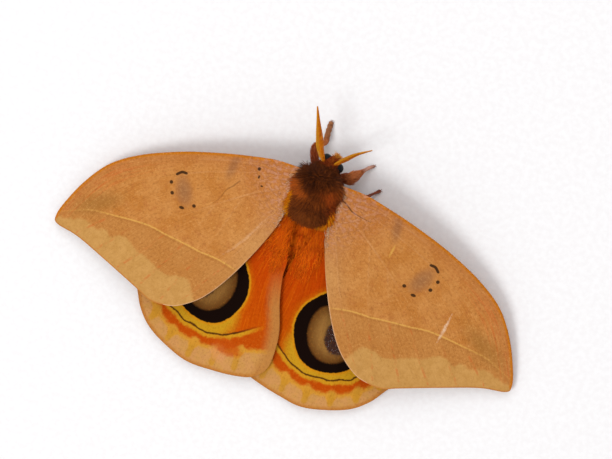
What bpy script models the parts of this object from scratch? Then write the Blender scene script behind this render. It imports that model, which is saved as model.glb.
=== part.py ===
"""A male Automeris excreta moth as a still, life-size model, standing on its six feet with its wings spread.

Lengths are in millimetres until the last step, which scales every mesh to metres. The shapes are laid out
round the point on the floor under the middle of the thorax: +X is the moth's right, +Y its head end, +Z up.
An empty named stance then carries that point to its place in the model's frame.
"""

import math
import random

import bmesh
import bpy
from mathutils import Matrix, Vector
from mathutils.bvhtree import BVHTree
from mathutils.geometry import delaunay_2d_cdt

METRES_PER_MM = 0.001
GAP = 0.3
STANCE = (0.0, 13.2, 0.0)

# Wings. Outlines and veins are drawn for the right wing, in plan.
WING_THICKNESS = 0.5
VEIN_HEIGHT = 0.16
VEIN_HALF_WIDTH = 0.4
VEIN_STEPS = 2
OUTLINE_STEPS = 3
# The mesh of a wing has a point every grid step, clear of its rim and veins by a part of the step.
GRID_STEP = 3.4
GRID_RIM_CLEARANCE = 0.4
GRID_VEIN_CLEARANCE = 0.35
LEAST_MITRE = 0.5

FOREWING_OUTLINE = [
    (2.2, 3.2), (8.7, 3.8), (15.7, 2.4), (22.8, 0.4), (30.2, -2.2), (38.0, -5.9), (43.8, -10.1),
    (47.8, -15.6), (50.6, -21.6), (51.5, -25.0), (50.6, -26.5), (45.3, -27.4), (37.3, -30.1),
    (29.5, -32.9), (26.0, -34.2), (22.6, -34.0), (19.4, -32.9), (15.2, -29.4), (11.4, -23.7),
    (7.7, -15.9), (5.3, -9.4), (4.6, -6.0), (3.9, -3.5), (2.2, -2.1),
]
FOREWING_VEINS = {
    "subcosta": [(5.0, 2.7), (16.0, 0.9), (28.0, -2.9), (37.5, -7.2)],
    "radius": [(5.2, 1.2), (16.0, -1.3), (27.0, -5.8), (36.0, -10.9), (44.5, -17.0), (49.6, -24.6)],
    "radius_fork": [(36.0, -10.9), (42.0, -12.7), (46.9, -16.4)],
    "media_1": [(27.0, -5.8), (33.0, -12.4), (39.5, -20.1), (45.8, -26.6)],
    "media_2": [(28.0, -11.9), (33.0, -19.1), (40.4, -28.1)],
    "media_3": [(24.5, -14.2), (28.5, -21.6), (34.8, -30.2)],
    "cubitus": [(5.4, -0.4), (14.0, -5.8), (24.5, -14.2)],
    "cubitus_1": [(19.2, -10.1), (23.4, -21.1), (29.2, -32.1)],
    "cubitus_2": [(14.0, -5.8), (17.2, -17.0), (23.6, -32.9)],
    "cell_end": [(27.0, -5.8), (28.0, -11.9), (24.5, -14.2)],
    "anal": [(5.4, -2.3), (9.2, -12.9), (14.0, -23.1), (19.6, -31.7)],
}
FOREWING_HEIGHT = 10.0
FOREWING_DROOP = 0.145
FOREWING_PITCH = 0.06
FOREWING_HINGE = (4.6, 3.5)
# The left forewing is spread a little further forward than the right one.
LEFT_FOREWING_SWING = math.radians(1.2)
LEFT_FOREWING_ADVANCE = 0.65

HINDWING_OUTLINE = [
    (2.4, -0.8), (5.6, 0.3), (10.0, -1.2), (18.0, -5.8), (26.0, -13.8), (30.4, -22.0), (31.0, -27.5),
    (29.8, -31.2), (27.1, -34.6), (24.5, -38.3), (21.0, -41.2), (16.0, -43.2), (10.8, -44.3),
    (5.3, -43.7), (-0.5, -42.3), (-3.4, -41.0), (-5.3, -38.6), (-5.7, -35.5), (-4.8, -29.5),
    (-2.3, -23.0), (-0.8, -18.0), (-0.2, -14.4), (1.4, -10.4), (2.8, -6.8), (2.3, -4.4),
]
HINDWING_VEINS = {
    "subcosta": [(5.6, -1.4), (14.0, -6.6), (23.0, -15.0), (28.6, -26.0)],
    "radius": [(5.6, -2.8), (13.0, -9.5), (20.0, -19.5), (25.6, -34.6)],
    "media_1": [(13.0, -9.5), (17.0, -20.5), (21.6, -39.0)],
    "media_2": [(12.2, -15.6), (14.2, -26.0), (16.6, -41.6)],
    "media_3": [(9.6, -17.4), (10.6, -28.0), (11.2, -42.8)],
    "cubitus": [(5.0, -4.4), (7.2, -11.0), (9.6, -17.4)],
    "cubitus_2": [(7.2, -11.0), (6.6, -24.0), (5.8, -42.2)],
    "anal": [(4.2, -6.6), (3.2, -20.0), (1.0, -41.0)],
}
HINDWING_HINGE = (4.6, -1.0)
HINDWING_MARGIN_HEIGHT = 1.7
HINDWING_RISE = 6.5
HINDWING_TOP_Y = -3.0
HINDWING_REACH = (40.0, 42.0)
# The hump that lifts both hindwings over the abdomen.
HUMP_HEIGHT = 1.6
HUMP_Y = -22.0
HUMP_REACH = (8.0, 9.0)
# Behind the body the left hindwing lies over the right one, each this far from their middle height.
LAP = 0.6
LAP_HALF_WIDTH = 6.0
LAP_SIDE_FADE = 4.0
LAP_START_Y = -8.0
LAP_START_FADE = 5.0
LEFT_HINDWING_SWING = math.radians(6.0)

# Body.
THORAX_CENTRE = (0.0, -0.3, 7.2)
THORAX_RADII = (4.4, 5.8, 4.3)
THORAX_POWER = 2.5
HEAD_CENTRE = (1.0, 7.35, 6.8)
HEAD_RADII = (2.0, 1.95, 2.1)
HEAD_POWER = 2.2
HEAD_TURN = math.radians(-20.0)
EYE_RADIUS = 1.15
EYE_OUT = 1.55
EYE_HEIGHT = -0.1
# Stations along the abdomen: distance back, half width, top and bottom.
ABDOMEN_STATIONS = [
    (-4.6, 3.0, 8.6, 3.0), (-9.0, 3.6, 6.9, 1.7), (-14.0, 3.6, 6.1, 1.1), (-19.0, 3.3, 5.7, 0.9),
    (-24.0, 2.5, 4.7, 0.8), (-27.4, 1.6, 3.6, 0.9),
]
ABDOMEN_END_POWER = 5.0
ABDOMEN_GIRTH_POWER = 0.4

TUBE_STEPS = 3
TUBE_ROUNDNESS = 1
# Each leg's joints, from its root in the thorax to the toe, and the radius at each and at the heel of the
# last toe joint, which lies flat on the floor. The forelegs' fur is thicker, and one middle leg is slim.
LEG_RADII = {
    "leg_fore_left": [0.6, 0.75, 0.6, 0.65, 0.6, 0.55, 0.55, 0.5],
    "leg_fore_right": [0.6, 0.75, 0.95, 1.1, 0.55, 0.4, 0.4, 0.42],
    "leg_mid_right": [0.6, 0.75, 0.55, 0.55, 0.35, 0.32, 0.34, 0.4],
    "other": [0.6, 0.75, 0.55, 0.8, 0.45, 0.4, 0.4, 0.42],
}
TOE_HEIGHT = 0.25
TOE_LENGTH = 0.9
LEG_JOINTS = {
    "leg_fore_left": [
        (-1.8, 4.6, 4.9), (-3.1, 7.0, 4.2), (-3.8, 9.1, 4.2), (-3.1, 10.1, 3.3),
        (-2.3, 10.8, 2.0), (-2.5, 12.8, 0.9), (-2.6, 14.9, TOE_HEIGHT),
    ],
    "leg_fore_right": [
        (1.9, 4.2, 4.9), (3.6, 4.8, 4.2), (4.9, 5.2, 4.4), (6.1, 6.2, 3.3),
        (7.2, 7.5, 1.9), (7.9, 8.3, 0.8), (8.9, 9.1, TOE_HEIGHT),
    ],
    "leg_mid_left": [
        (-2.6, 0.6, 4.6), (-5.0, 1.0, 4.2), (-7.4, 1.0, 5.0), (-9.2, 0.8, 3.4),
        (-10.8, 0.6, 1.7), (-11.9, 0.4, 0.8), (-13.2, 0.2, TOE_HEIGHT),
    ],
    "leg_mid_right": [
        (2.6, 0.6, 4.6), (5.0, 1.1, 4.2), (7.3, 1.4, 5.0), (8.8, 2.0, 3.4),
        (10.0, 3.0, 1.7), (10.9, 3.8, 0.8), (11.8, 4.6, TOE_HEIGHT),
    ],
    "leg_hind_left": [
        (-2.4, -3.2, 4.8), (-5.6, -5.6, 4.2), (-8.2, -9.4, 4.6), (-9.4, -13.2, 3.1),
        (-10.4, -17.0, 1.6), (-11.0, -20.0, 0.8), (-11.6, -23.6, TOE_HEIGHT),
    ],
    "leg_hind_right": [
        (2.4, -3.2, 4.8), (5.6, -5.6, 4.2), (8.0, -9.6, 4.6), (9.0, -13.6, 3.1),
        (9.8, -17.4, 1.6), (10.4, -20.4, 0.8), (11.0, -24.0, TOE_HEIGHT),
    ],
}

# Antennae: the shaft's course, its roll about its own length, and its rays.
ANTENNA_SHAFTS = {
    "antenna_left": [(-0.2, 6.5, 7.9), (-2.0, 9.3, 8.9), (-3.7, 13.2, 9.2), (-5.6, 17.7, 8.9)],
    "antenna_right": [(0.8, 6.4, 7.9), (2.9, 8.7, 8.9), (5.2, 10.9, 9.2), (8.1, 12.8, 8.9)],
}
ANTENNA_ROLLS = {"antenna_left": math.radians(10.0), "antenna_right": math.radians(68.0)}
ANTENNA_RADII = [0.32, 0.32, 0.29, 0.19]
RAY_PAIRS = 11
RAY_PARTS = (0.26, 0.97)
RAY_LENGTH = 1.45
RAY_WIDTH = 0.56
RAY_TIP_RADIUS = 0.07
RAY_FORWARD_LEAN = 0.7

# Locks of the coat. A row has its distance forward, how many locks, the angle that they spread over from
# the back's middle line, their length, and the way that they lie: 1 forward, -1 back.
LOCK_THICKNESS = 0.6
LOCK_ROOT_DEPTH = 0.55
LOCK_RINGS = (0.3, 0.66)
LOCK_TIP = 0.16
LOCK_TAPER_POWER = 1.8
LOCK_STRAIGHTNESS = 0.35
LOCK_SPLAY = 0.35
LOCK_STRAY = 0.16
LOCK_STAGGER = 0.25
LOCK_LENGTHS = (0.88, 1.1)
LOCK_WIDTHS = (0.9, 1.1)
LOCK_LIFTS = (0.8, 1.1)
THORAX_ROWS = [
    (4.8, 8, 130.0, 3.0, 1), (4.5, 8, 160.0, 3.6, -1), (2.6, 9, 165.0, 4.0, -1),
    (0.6, 10, 170.0, 4.2, -1), (-1.3, 10, 170.0, 4.2, -1), (-3.1, 9, 168.0, 4.0, -1),
    (-4.7, 8, 150.0, 3.6, -1),
]
THORAX_LOCK_WIDTH = 2.5
THORAX_LOCK_LIFT = 1.3
ABDOMEN_ROWS = [
    (-8.0, 5, 80.0, 4.2, -1), (-11.5, 6, 100.0, 4.4, -1), (-15.0, 5, 110.0, 4.4, -1),
    (-18.5, 5, 120.0, 4.4, -1), (-22.0, 6, 140.0, 4.4, -1), (-25.4, 6, 165.0, 4.0, -1),
]
ABDOMEN_LOCK_WIDTH = 2.3
ABDOMEN_LOCK_LIFT = 0.55
ABDOMEN_AXIS = (0.0, 3.4)
# Each leg lock's place, as a part of the leg, and its turn about the leg from the top, in degrees.
LEG_LOCKS = [(0.26, 60.0), (0.38, -50.0), (0.52, 45.0)]
LEG_LOCK_SIZE = (2.4, 1.3, 0.5)
LEG_LOCK_LIFT = 0.3
HEAD_ROWS = [(8.9, 7, 150.0, 2.2, 1), (8.2, 4, 100.0, 1.8, 1)]
HEAD_LOCK_WIDTH = 1.2
HEAD_LOCK_LIFT = 0.5

SHARP_ANGLE = math.radians(40.0)
WINGS = ["forewing_left", "forewing_right", "hindwing_left", "hindwing_right"]
EYES = ["eye_left", "eye_right"]
COLOURS = {
    "forewing": (0.54, 0.30, 0.13),
    "hindwing": (0.62, 0.16, 0.01),
    "thorax": (0.07, 0.025, 0.01),
    "abdomen": (0.35, 0.08, 0.01),
    "head": (0.12, 0.03, 0.01),
    "eye": (0.01, 0.01, 0.015),
    "antenna": (0.50, 0.22, 0.02),
    "leg": (0.20, 0.07, 0.03),
}


def clear_scene():
    """Removes what the scene holds, so that the script starts from nothing."""
    for obj in list(bpy.data.objects):
        bpy.data.objects.remove(obj, do_unlink=True)


def new_collection(name):
    collection = bpy.data.collections.new(name)
    bpy.context.scene.collection.children.link(collection)
    return collection


def new_material(name, colour, roughness=0.7):
    """A plain Principled material of one colour."""
    material = bpy.data.materials.new(name)
    material.use_nodes = True
    shader = material.node_tree.nodes["Principled BSDF"]
    shader.inputs["Base Color"].default_value = (*colour, 1.0)
    shader.inputs["Roughness"].default_value = roughness
    shader.inputs["Metallic"].default_value = 0.0
    return material


def object_from(bm, name, collection):
    """An object made of a bmesh, with its faces out."""
    bmesh.ops.recalc_face_normals(bm, faces=bm.faces)
    mesh = bpy.data.meshes.new(name)
    bm.to_mesh(mesh)
    bm.free()
    obj = bpy.data.objects.new(name, mesh)
    collection.objects.link(obj)
    return obj


def apply_modifiers(obj):
    """Gives the object the mesh that its modifiers make of it."""
    evaluated = obj.evaluated_get(bpy.context.evaluated_depsgraph_get())
    mesh = bpy.data.meshes.new_from_object(evaluated)
    obj.modifiers.clear()
    obj.data = mesh


def keep_largest_surface(obj):
    """Drops every closed surface of the mesh but the one with the most faces."""
    bm = bmesh.new()
    bm.from_mesh(obj.data)
    unseen = set(bm.faces)
    surfaces = []
    while unseen:
        found = [unseen.pop()]
        for face in found:
            joined = [edge for edge in face.edges if len(edge.link_faces) == 2]
            near = {other for edge in joined for other in edge.link_faces} & unseen
            unseen -= near
            found.extend(near)
        surfaces.append(found)
    surfaces.sort(key=len)
    scraps = [face for surface in surfaces[:-1] for face in surface]
    bmesh.ops.delete(bm, geom=scraps, context="FACES")
    bm.to_mesh(obj.data)
    bm.free()


def combine(obj, pieces, operation):
    """One Boolean of the object with a collection of closed pieces, which are then removed."""
    boolean = obj.modifiers.new(operation.lower(), "BOOLEAN")
    boolean.operand_type = "COLLECTION"
    boolean.collection = pieces
    boolean.operation = operation
    boolean.solver = "EXACT"
    apply_modifiers(obj)
    for piece in list(pieces.objects):
        bpy.data.objects.remove(piece, do_unlink=True)
    bpy.data.collections.remove(pieces)
    keep_largest_surface(obj)


def smoothstep(value):
    value = min(1.0, max(0.0, value))
    return value * value * (3.0 - 2.0 * value)


def spline_through(points, steps, closed=False):
    """Points on a smooth curve through the given ones, with so many steps between neighbours."""
    points = [Vector(point) for point in points]
    count = len(points)
    curve = []
    for index in range(count if closed else count - 1):
        if closed:
            before, start, end, after = (points[(index + k) % count] for k in (-1, 0, 1, 2))
        else:
            start, end = points[index], points[index + 1]
            before = points[index - 1] if index else start * 2 - end
            after = points[index + 2] if index + 2 < count else end * 2 - start
        for step in range(steps):
            t = step / steps
            curve.append(
                0.5 * (
                    2 * start
                    + (end - before) * t
                    + (2 * before - 5 * start + 4 * end - after) * t * t
                    + (3 * start - before - 3 * end + after) * t * t * t
                )
            )
    if not closed:
        curve.append(points[-1])
    return curve


def forewing_height(x, y, side):
    """Height of the forewing's middle surface, which slopes down to its tip."""
    return (
        FOREWING_HEIGHT
        - FOREWING_DROOP * (abs(x) - FOREWING_HINGE[0])
        + FOREWING_PITCH * (y - FOREWING_HINGE[1])
    )


def hindwing_height(x, y, side):
    """Height of the hindwing's middle surface: it humps over the abdomen and falls to its margin."""
    away = math.hypot(x / HINDWING_REACH[0], (y - HINDWING_TOP_Y) / HINDWING_REACH[1])
    height = HINDWING_MARGIN_HEIGHT + HINDWING_RISE * (1.0 - smoothstep(away))
    height += HUMP_HEIGHT * math.exp(-((x / HUMP_REACH[0]) ** 2) - ((y - HUMP_Y) / HUMP_REACH[1]) ** 2)
    near_middle = 1.0 - smoothstep((abs(x) - LAP_HALF_WIDTH) / LAP_SIDE_FADE)
    behind_body = smoothstep((LAP_START_Y - y) / LAP_START_FADE)
    return height - side * LAP * near_middle * behind_body


def wing_place(point, side, hinge, swing, advance):
    """Turns a point of the right wing's plan about the hinge, mirrors it if left and moves it forward."""
    offset = Vector(point) - Vector(hinge)
    offset.rotate(Matrix.Rotation(swing, 2))
    placed = offset + Vector(hinge)
    return Vector((placed.x * side, placed.y + advance))


def distance_to_line(point, line):
    """Distance in plan from a point to a polyline."""
    nearest = math.inf
    for start, end in zip(line, line[1:]):
        span = end - start
        along = max(0.0, min(1.0, (point - start).dot(span) / max(span.length_squared, 1e-9)))
        nearest = min(nearest, (start + span * along - point).length)
    return nearest


def grown_outline(outline, grow):
    """The outline moved outwards by a distance, further at its corners."""
    twice_area = sum(a.cross(b) for a, b in zip(outline, outline[1:] + outline[:1]))
    turn = math.copysign(1.0, twice_area)
    moved = []
    for index, point in enumerate(outline):
        before = (point - outline[index - 1]).normalized()
        after = (outline[(index + 1) % len(outline)] - point).normalized()
        way = (before + after).normalized()
        sharpness = max(LEAST_MITRE, way.dot(after))
        moved.append(point + Vector((way.y, -way.x)) * turn * grow / sharpness)
    return moved


def wing(name, collection, outline, veins, height, hinge, side, swing, advance, grow=0.0):
    """A wing: a sheet over its outline with its main veins raised in both faces.

    A wing that is grown has no veins, and clears the real one by that distance: it cuts room for it.
    """
    def placed(points):
        return [wing_place(point, side, hinge, swing, advance) for point in points]

    rim = placed(spline_through(outline, OUTLINE_STEPS, closed=True))
    if grow:
        rim = grown_outline(rim, grow)
    crests = [placed(spline_through(vein, VEIN_STEPS)) for vein in ([] if grow else veins.values())]
    lines = []
    for crest in crests:
        for offset in (-VEIN_HALF_WIDTH, 0.0, VEIN_HALF_WIDTH):
            lines.append(side_line(crest, offset))
    points = list(rim)
    edges = []
    for line in lines:
        first = len(points)
        points.extend(line)
        edges.extend((first + k, first + k + 1) for k in range(len(line) - 1))
    points.extend(grid_points(rim, lines))
    found = delaunay_2d_cdt(points, edges, [list(range(len(rim)))], 1, 1e-4)
    bm = bmesh.new()
    vertices = [bm.verts.new((p.x, p.y, height(p.x, p.y, side))) for p in found[0]]
    for face in found[2]:
        bm.faces.new([vertices[index] for index in face])
    plans = [vertex.co.xy for vertex in bm.verts]
    obj = object_from(bm, name, collection)
    if obj.data.polygons[0].normal.z < 0:
        obj.data.flip_normals()
    full = WING_THICKNESS + 2.0 * (VEIN_HEIGHT + grow)
    thickness = obj.vertex_groups.new(name="thickness")
    for index, plan in enumerate(plans):
        near = min((distance_to_line(plan, crest) for crest in crests), default=math.inf)
        rise = max(0.0, 1.0 - near / VEIN_HALF_WIDTH)
        part = 1.0 if grow else (WING_THICKNESS + 2.0 * VEIN_HEIGHT * rise) / full
        thickness.add([index], part, "REPLACE")
    solidify = obj.modifiers.new("wing", "SOLIDIFY")
    solidify.thickness = full
    solidify.offset = 0.0
    solidify.vertex_group = thickness.name
    solidify.thickness_vertex_group = 0.0
    apply_modifiers(obj)
    return obj


def side_line(line, offset):
    """A polyline beside another one, in plan."""
    moved = []
    for index, point in enumerate(line):
        tangent = line[min(index + 1, len(line) - 1)] - line[max(index - 1, 0)]
        tangent.normalize()
        moved.append(point + Vector((-tangent.y, tangent.x)) * offset)
    return moved


def inside(point, rim):
    """Whether a point of the plan lies inside a closed outline."""
    crossings = 0
    for start, end in zip(rim, rim[1:] + rim[:1]):
        if (start.y > point.y) != (end.y > point.y):
            crossings += point.x < start.x + (point.y - start.y) * (end.x - start.x) / (end.y - start.y)
    return crossings % 2 == 1


def grid_points(rim, lines):
    """Points on a grid inside the outline, clear of it and of the vein lines."""
    low_x, high_x = min(p.x for p in rim), max(p.x for p in rim)
    low_y, high_y = min(p.y for p in rim), max(p.y for p in rim)
    closed_rim = rim + rim[:1]
    points = []
    for column in range(int((high_x - low_x) / GRID_STEP) + 1):
        for row in range(int((high_y - low_y) / GRID_STEP) + 1):
            shift = 0.5 * (row % 2)
            point = Vector((low_x + (column + shift) * GRID_STEP, low_y + row * GRID_STEP))
            if not inside(point, rim):
                continue
            if distance_to_line(point, closed_rim) < GRID_RIM_CLEARANCE * GRID_STEP:
                continue
            if all(distance_to_line(point, line) > GRID_VEIN_CLEARANCE * GRID_STEP for line in lines):
                points.append(point)
    return points


def ball(cuts):
    """A unit ball blown up from a cube, with so many cuts along each of its sides."""
    bm = bmesh.new()
    bmesh.ops.create_cube(bm, size=2.0)
    bmesh.ops.subdivide_edges(bm, edges=bm.edges, cuts=cuts, use_grid_fill=True)
    for vertex in bm.verts:
        vertex.co.normalize()
    return bm


def rounded_body(name, collection, centre, radii, power=2.0, turn=0.0, grow=0.0, cuts=7):
    """A ball drawn out to three radii, and squarer than an ellipsoid where the power is above 2."""
    bm = ball(cuts)
    for vertex in bm.verts:
        way = vertex.co.copy()
        fullness = sum(abs(part) ** power for part in way) ** (-1.0 / power)
        stretched = Vector(part * fullness * (radius + grow) for part, radius in zip(way, radii))
        vertex.co = Matrix.Rotation(turn, 3, "Z") @ stretched + Vector(centre)
    return object_from(bm, name, collection)


def station_at(y):
    """Half width, top and bottom of the abdomen at a distance back."""
    stations = ABDOMEN_STATIONS
    if y >= stations[0][0]:
        return stations[0][1:]
    for near, far in zip(stations, stations[1:]):
        if y >= far[0]:
            t = (near[0] - y) / (near[0] - far[0])
            return tuple(a + (b - a) * t for a, b in zip(near[1:], far[1:]))
    return stations[-1][1:]


def abdomen_body(name, collection, grow=0.0):
    """The abdomen's tapered body, drawn through its stations and rounded at both ends."""
    bm = ball(cuts=6)
    front, back = ABDOMEN_STATIONS[0][0] + grow, ABDOMEN_STATIONS[-1][0] - grow
    for vertex in bm.verts:
        way = vertex.co.copy()
        y = 0.5 * (front + back) + 0.5 * (front - back) * way.y
        half_width, top, bottom = station_at(y)
        ring = math.hypot(way.x, way.z)
        fullness = (1.0 - abs(way.y) ** ABDOMEN_END_POWER) ** ABDOMEN_GIRTH_POWER
        roundness = fullness / ring if ring > 1e-6 else 0.0
        x = way.x * roundness * (half_width + grow)
        z = 0.5 * (top + bottom) + way.z * roundness * (0.5 * (top - bottom) + grow)
        vertex.co = (x, y, z)
    return object_from(bm, name, collection)


def tube(name, collection, points, radii, grow):
    """A tube along a smooth course, with its own radius at each given point."""
    course = spline_through([(*point, radius) for point, radius in zip(points, radii)], TUBE_STEPS)
    curve = bpy.data.curves.new(name, "CURVE")
    curve.dimensions = "3D"
    curve.bevel_depth = 1.0
    curve.bevel_resolution = TUBE_ROUNDNESS
    curve.use_fill_caps = True
    spline = curve.splines.new("POLY")
    spline.points.add(len(course) - 1)
    for control, place in zip(spline.points, course):
        control.co = (place[0], place[1], place[2], 1.0)
        control.radius = place[3] + grow
    guide = bpy.data.objects.new(name + "_course", curve)
    collection.objects.link(guide)
    graph = bpy.context.evaluated_depsgraph_get()
    mesh = bpy.data.meshes.new_from_object(guide.evaluated_get(graph))
    bpy.data.objects.remove(guide, do_unlink=True)
    bm = bmesh.new()
    bm.from_mesh(mesh)
    bmesh.ops.remove_doubles(bm, verts=bm.verts, dist=1e-4)
    bmesh.ops.triangulate(bm, faces=bm.faces)
    return object_from(bm, name, collection)


def surface_of(obj):
    """The surface of a mesh, to seat locks on."""
    bm = bmesh.new()
    bm.from_mesh(obj.data)
    surface = BVHTree.FromBMesh(bm)
    bm.free()
    return surface


def lock(name, collection, surface, root, lie, length, width, thickness, lift):
    """A flat, tapered lock, sunk in at its root, that rises and then bends along the surface under it."""
    bm = bmesh.new()
    bmesh.ops.create_cone(bm, cap_ends=True, segments=4, radius1=1.0, radius2=1.0, depth=1.0)
    bmesh.ops.translate(bm, verts=bm.verts, vec=(0.0, 0.0, 0.5))
    for ring in LOCK_RINGS:
        everything = list(bm.verts) + list(bm.edges) + list(bm.faces)
        bmesh.ops.bisect_plane(bm, geom=everything, plane_co=(0, 0, ring), plane_no=(0, 0, 1))
    root_normal = surface.find_nearest(root)[1]
    for vertex in bm.verts:
        across, over, along = vertex.co
        ahead = root + lie * length * along
        nearest, normal = surface.find_nearest(ahead)[:2]
        normal = (normal + root_normal).normalized()
        seat = nearest.lerp(ahead, LOCK_STRAIGHTNESS)
        height = (LOCK_ROOT_DEPTH + lift) * (1.0 - (1.0 - along) ** 2) - LOCK_ROOT_DEPTH
        side = lie.cross(normal).normalized()
        taper = 1.0 - (1.0 - LOCK_TIP) * along ** LOCK_TAPER_POWER
        vertex.co = seat + normal * (height + 0.5 * thickness * taper * over)
        vertex.co += side * 0.5 * width * taper * across
    return object_from(bm, name, collection)


def coat(obj, rows, centre, width, lift, neighbours, turn=0.0, seed=1):
    """Rows of locks round a body, joined to it. A lock whose root a neighbour needs is left out."""
    chance = random.Random(seed)
    surface = surface_of(obj)
    taken = [surface_of(neighbour) for neighbour in neighbours]
    locks = new_collection(obj.name + "_locks")
    for row_index, (forward, count, spread, length, way) in enumerate(rows):
        for index in range(count):
            step = 2.0 * spread / count
            stagger = LOCK_STAGGER * (-1) ** row_index
            angle = math.radians(-spread + step * (index + 0.5 + stagger))
            start = Vector((centre[0], forward, centre[1]))
            out = Vector((math.sin(angle), 0.0, math.cos(angle)))
            root, normal = surface.ray_cast(start, out)[:2]
            if root is None or any(s.find_nearest(root)[3] < 0.5 * LOCK_THICKNESS + GAP for s in taken):
                continue
            lie = Vector((LOCK_SPLAY * math.sin(angle), float(way), 0.0))
            lie.rotate(Matrix.Rotation(turn + chance.uniform(-LOCK_STRAY, LOCK_STRAY), 3, "Z"))
            lie = (lie - normal * lie.dot(normal)).normalized()
            lock(
                obj.name + "_lock", locks, surface, root, lie, length * chance.uniform(*LOCK_LENGTHS),
                width * chance.uniform(*LOCK_WIDTHS), LOCK_THICKNESS, lift * chance.uniform(*LOCK_LIFTS),
            )
    combine(obj, locks, "UNION")


def cut_at_floor(obj):
    """Cuts off what lies below the floor and closes the cut with a flat."""
    bm = bmesh.new()
    bm.from_mesh(obj.data)
    everything = list(bm.verts) + list(bm.edges) + list(bm.faces)
    cut = bmesh.ops.bisect_plane(
        bm, geom=everything, plane_co=(0, 0, 0), plane_no=(0, 0, -1), clear_outer=True
    )
    rim = [part for part in cut["geom_cut"] if isinstance(part, bmesh.types.BMEdge)]
    bmesh.ops.contextual_create(bm, geom=rim)
    bmesh.ops.recalc_face_normals(bm, faces=bm.faces)
    bm.to_mesh(obj.data)
    bm.free()


def leg(name, collection, grow=0.0):
    """A leg from its root in the thorax to a toe that is flat on the floor."""
    radii = LEG_RADII.get(name, LEG_RADII["other"])
    joints = [Vector(joint) for joint in LEG_JOINTS[name]]
    last = (joints[-1] - joints[-2]) * Vector((1.0, 1.0, 0.0))
    joints.insert(-1, joints[-1] - last.normalized() * TOE_LENGTH)
    obj = tube(name, collection, joints, radii, grow)
    if grow:
        return obj
    surface = surface_of(obj)
    locks = new_collection(name + "_locks")
    course = spline_through(joints, 6)
    for part, turn in LEG_LOCKS:
        place = int(part * len(course))
        lie = (course[place + 3] - course[place]).normalized()
        out = (Vector((0.0, 0.0, 1.0)) - lie * lie.z).normalized()
        out.rotate(Matrix.Rotation(math.radians(turn), 3, lie))
        root = surface.ray_cast(course[place], out)[0]
        lock(name + "_lock", locks, surface, root, lie, *LEG_LOCK_SIZE, LEG_LOCK_LIFT)
    combine(obj, locks, "UNION")
    cut_at_floor(obj)
    return obj


def antenna(name, collection, grow=0.0):
    """An antenna: a tapered shaft with rays along both sides, which are left off where it is grown."""
    shaft = tube(name, collection, ANTENNA_SHAFTS[name], ANTENNA_RADII, grow)
    if grow:
        return shaft
    rays = new_collection(name + "_rays")
    course = spline_through(ANTENNA_SHAFTS[name], 12)
    for pair in range(RAY_PAIRS):
        part = RAY_PARTS[0] + (RAY_PARTS[1] - RAY_PARTS[0]) * pair / (RAY_PAIRS - 1.0)
        place = int(part * (len(course) - 1))
        ahead = (course[place + 1] - course[place - 1]).normalized()
        level = ahead.cross(Vector((0.0, 0.0, 1.0))).normalized()
        level.rotate(Matrix.Rotation(ANTENNA_ROLLS[name], 3, ahead))
        # Rays are longest near a fifth of the way out and shorten to a quarter at the tip.
        length = RAY_LENGTH * (1.0 - 0.75 * part ** 1.6) * min(1.0, 0.55 + 2.5 * part)
        for side in (-1.0, 1.0):
            way = (level * side + ahead * RAY_FORWARD_LEAN).normalized()
            ray(name + "_ray", rays, course[place], way, length, ahead)
    combine(shaft, rays, "UNION")
    return shaft


def ray(name, collection, root, way, length, ahead):
    """One ray of an antenna: a slim pyramid, from inside the shaft to its tip."""
    bm = bmesh.new()
    bmesh.ops.create_cone(
        bm, cap_ends=True, segments=4, radius1=0.5 * RAY_WIDTH, radius2=RAY_TIP_RADIUS, depth=length
    )
    bmesh.ops.translate(bm, verts=bm.verts, vec=(0.0, 0.0, 0.5 * length))
    across = way.cross(ahead).normalized()
    turn = Matrix((across, way.cross(across), way)).transposed()
    bmesh.ops.transform(bm, matrix=Matrix.Translation(root) @ turn.to_4x4(), verts=bm.verts)
    return object_from(bm, name, collection)


def eye(name, collection, grow=0.0):
    """An eye, let into the side of the head."""
    side = 1.0 if name.endswith("right") else -1.0
    offset = Matrix.Rotation(HEAD_TURN, 3, "Z") @ Vector((side * EYE_OUT, 0.0, EYE_HEIGHT))
    centre = Vector(HEAD_CENTRE) + offset
    return rounded_body(name, collection, centre, (EYE_RADIUS,) * 3, grow=grow, cuts=4)


def wing_node(name, collection, grow=0.0):
    side = 1.0 if name.endswith("right") else -1.0
    left = side < 0
    if name.startswith("forewing"):
        swing, advance = (LEFT_FOREWING_SWING, LEFT_FOREWING_ADVANCE) if left else (0.0, 0.0)
        return wing(
            name, collection, FOREWING_OUTLINE, FOREWING_VEINS, forewing_height, FOREWING_HINGE,
            side, swing, advance, grow,
        )
    swing = LEFT_HINDWING_SWING if left else 0.0
    return wing(
        name, collection, HINDWING_OUTLINE, HINDWING_VEINS, hindwing_height, HINDWING_HINGE,
        side, swing, 0.0, grow,
    )


def head_core(name, collection, grow=0.0):
    return rounded_body(name, collection, HEAD_CENTRE, HEAD_RADII, HEAD_POWER, HEAD_TURN, grow, cuts=5)


def cut_room(obj, neighbours):
    """Cuts room for neighbours out of an object: each one is made again, grown by the gap."""
    cutters = new_collection(obj.name + "_cutters")
    for maker, name in neighbours:
        maker(name, cutters, GAP)
    combine(obj, cutters, "DIFFERENCE")


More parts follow.
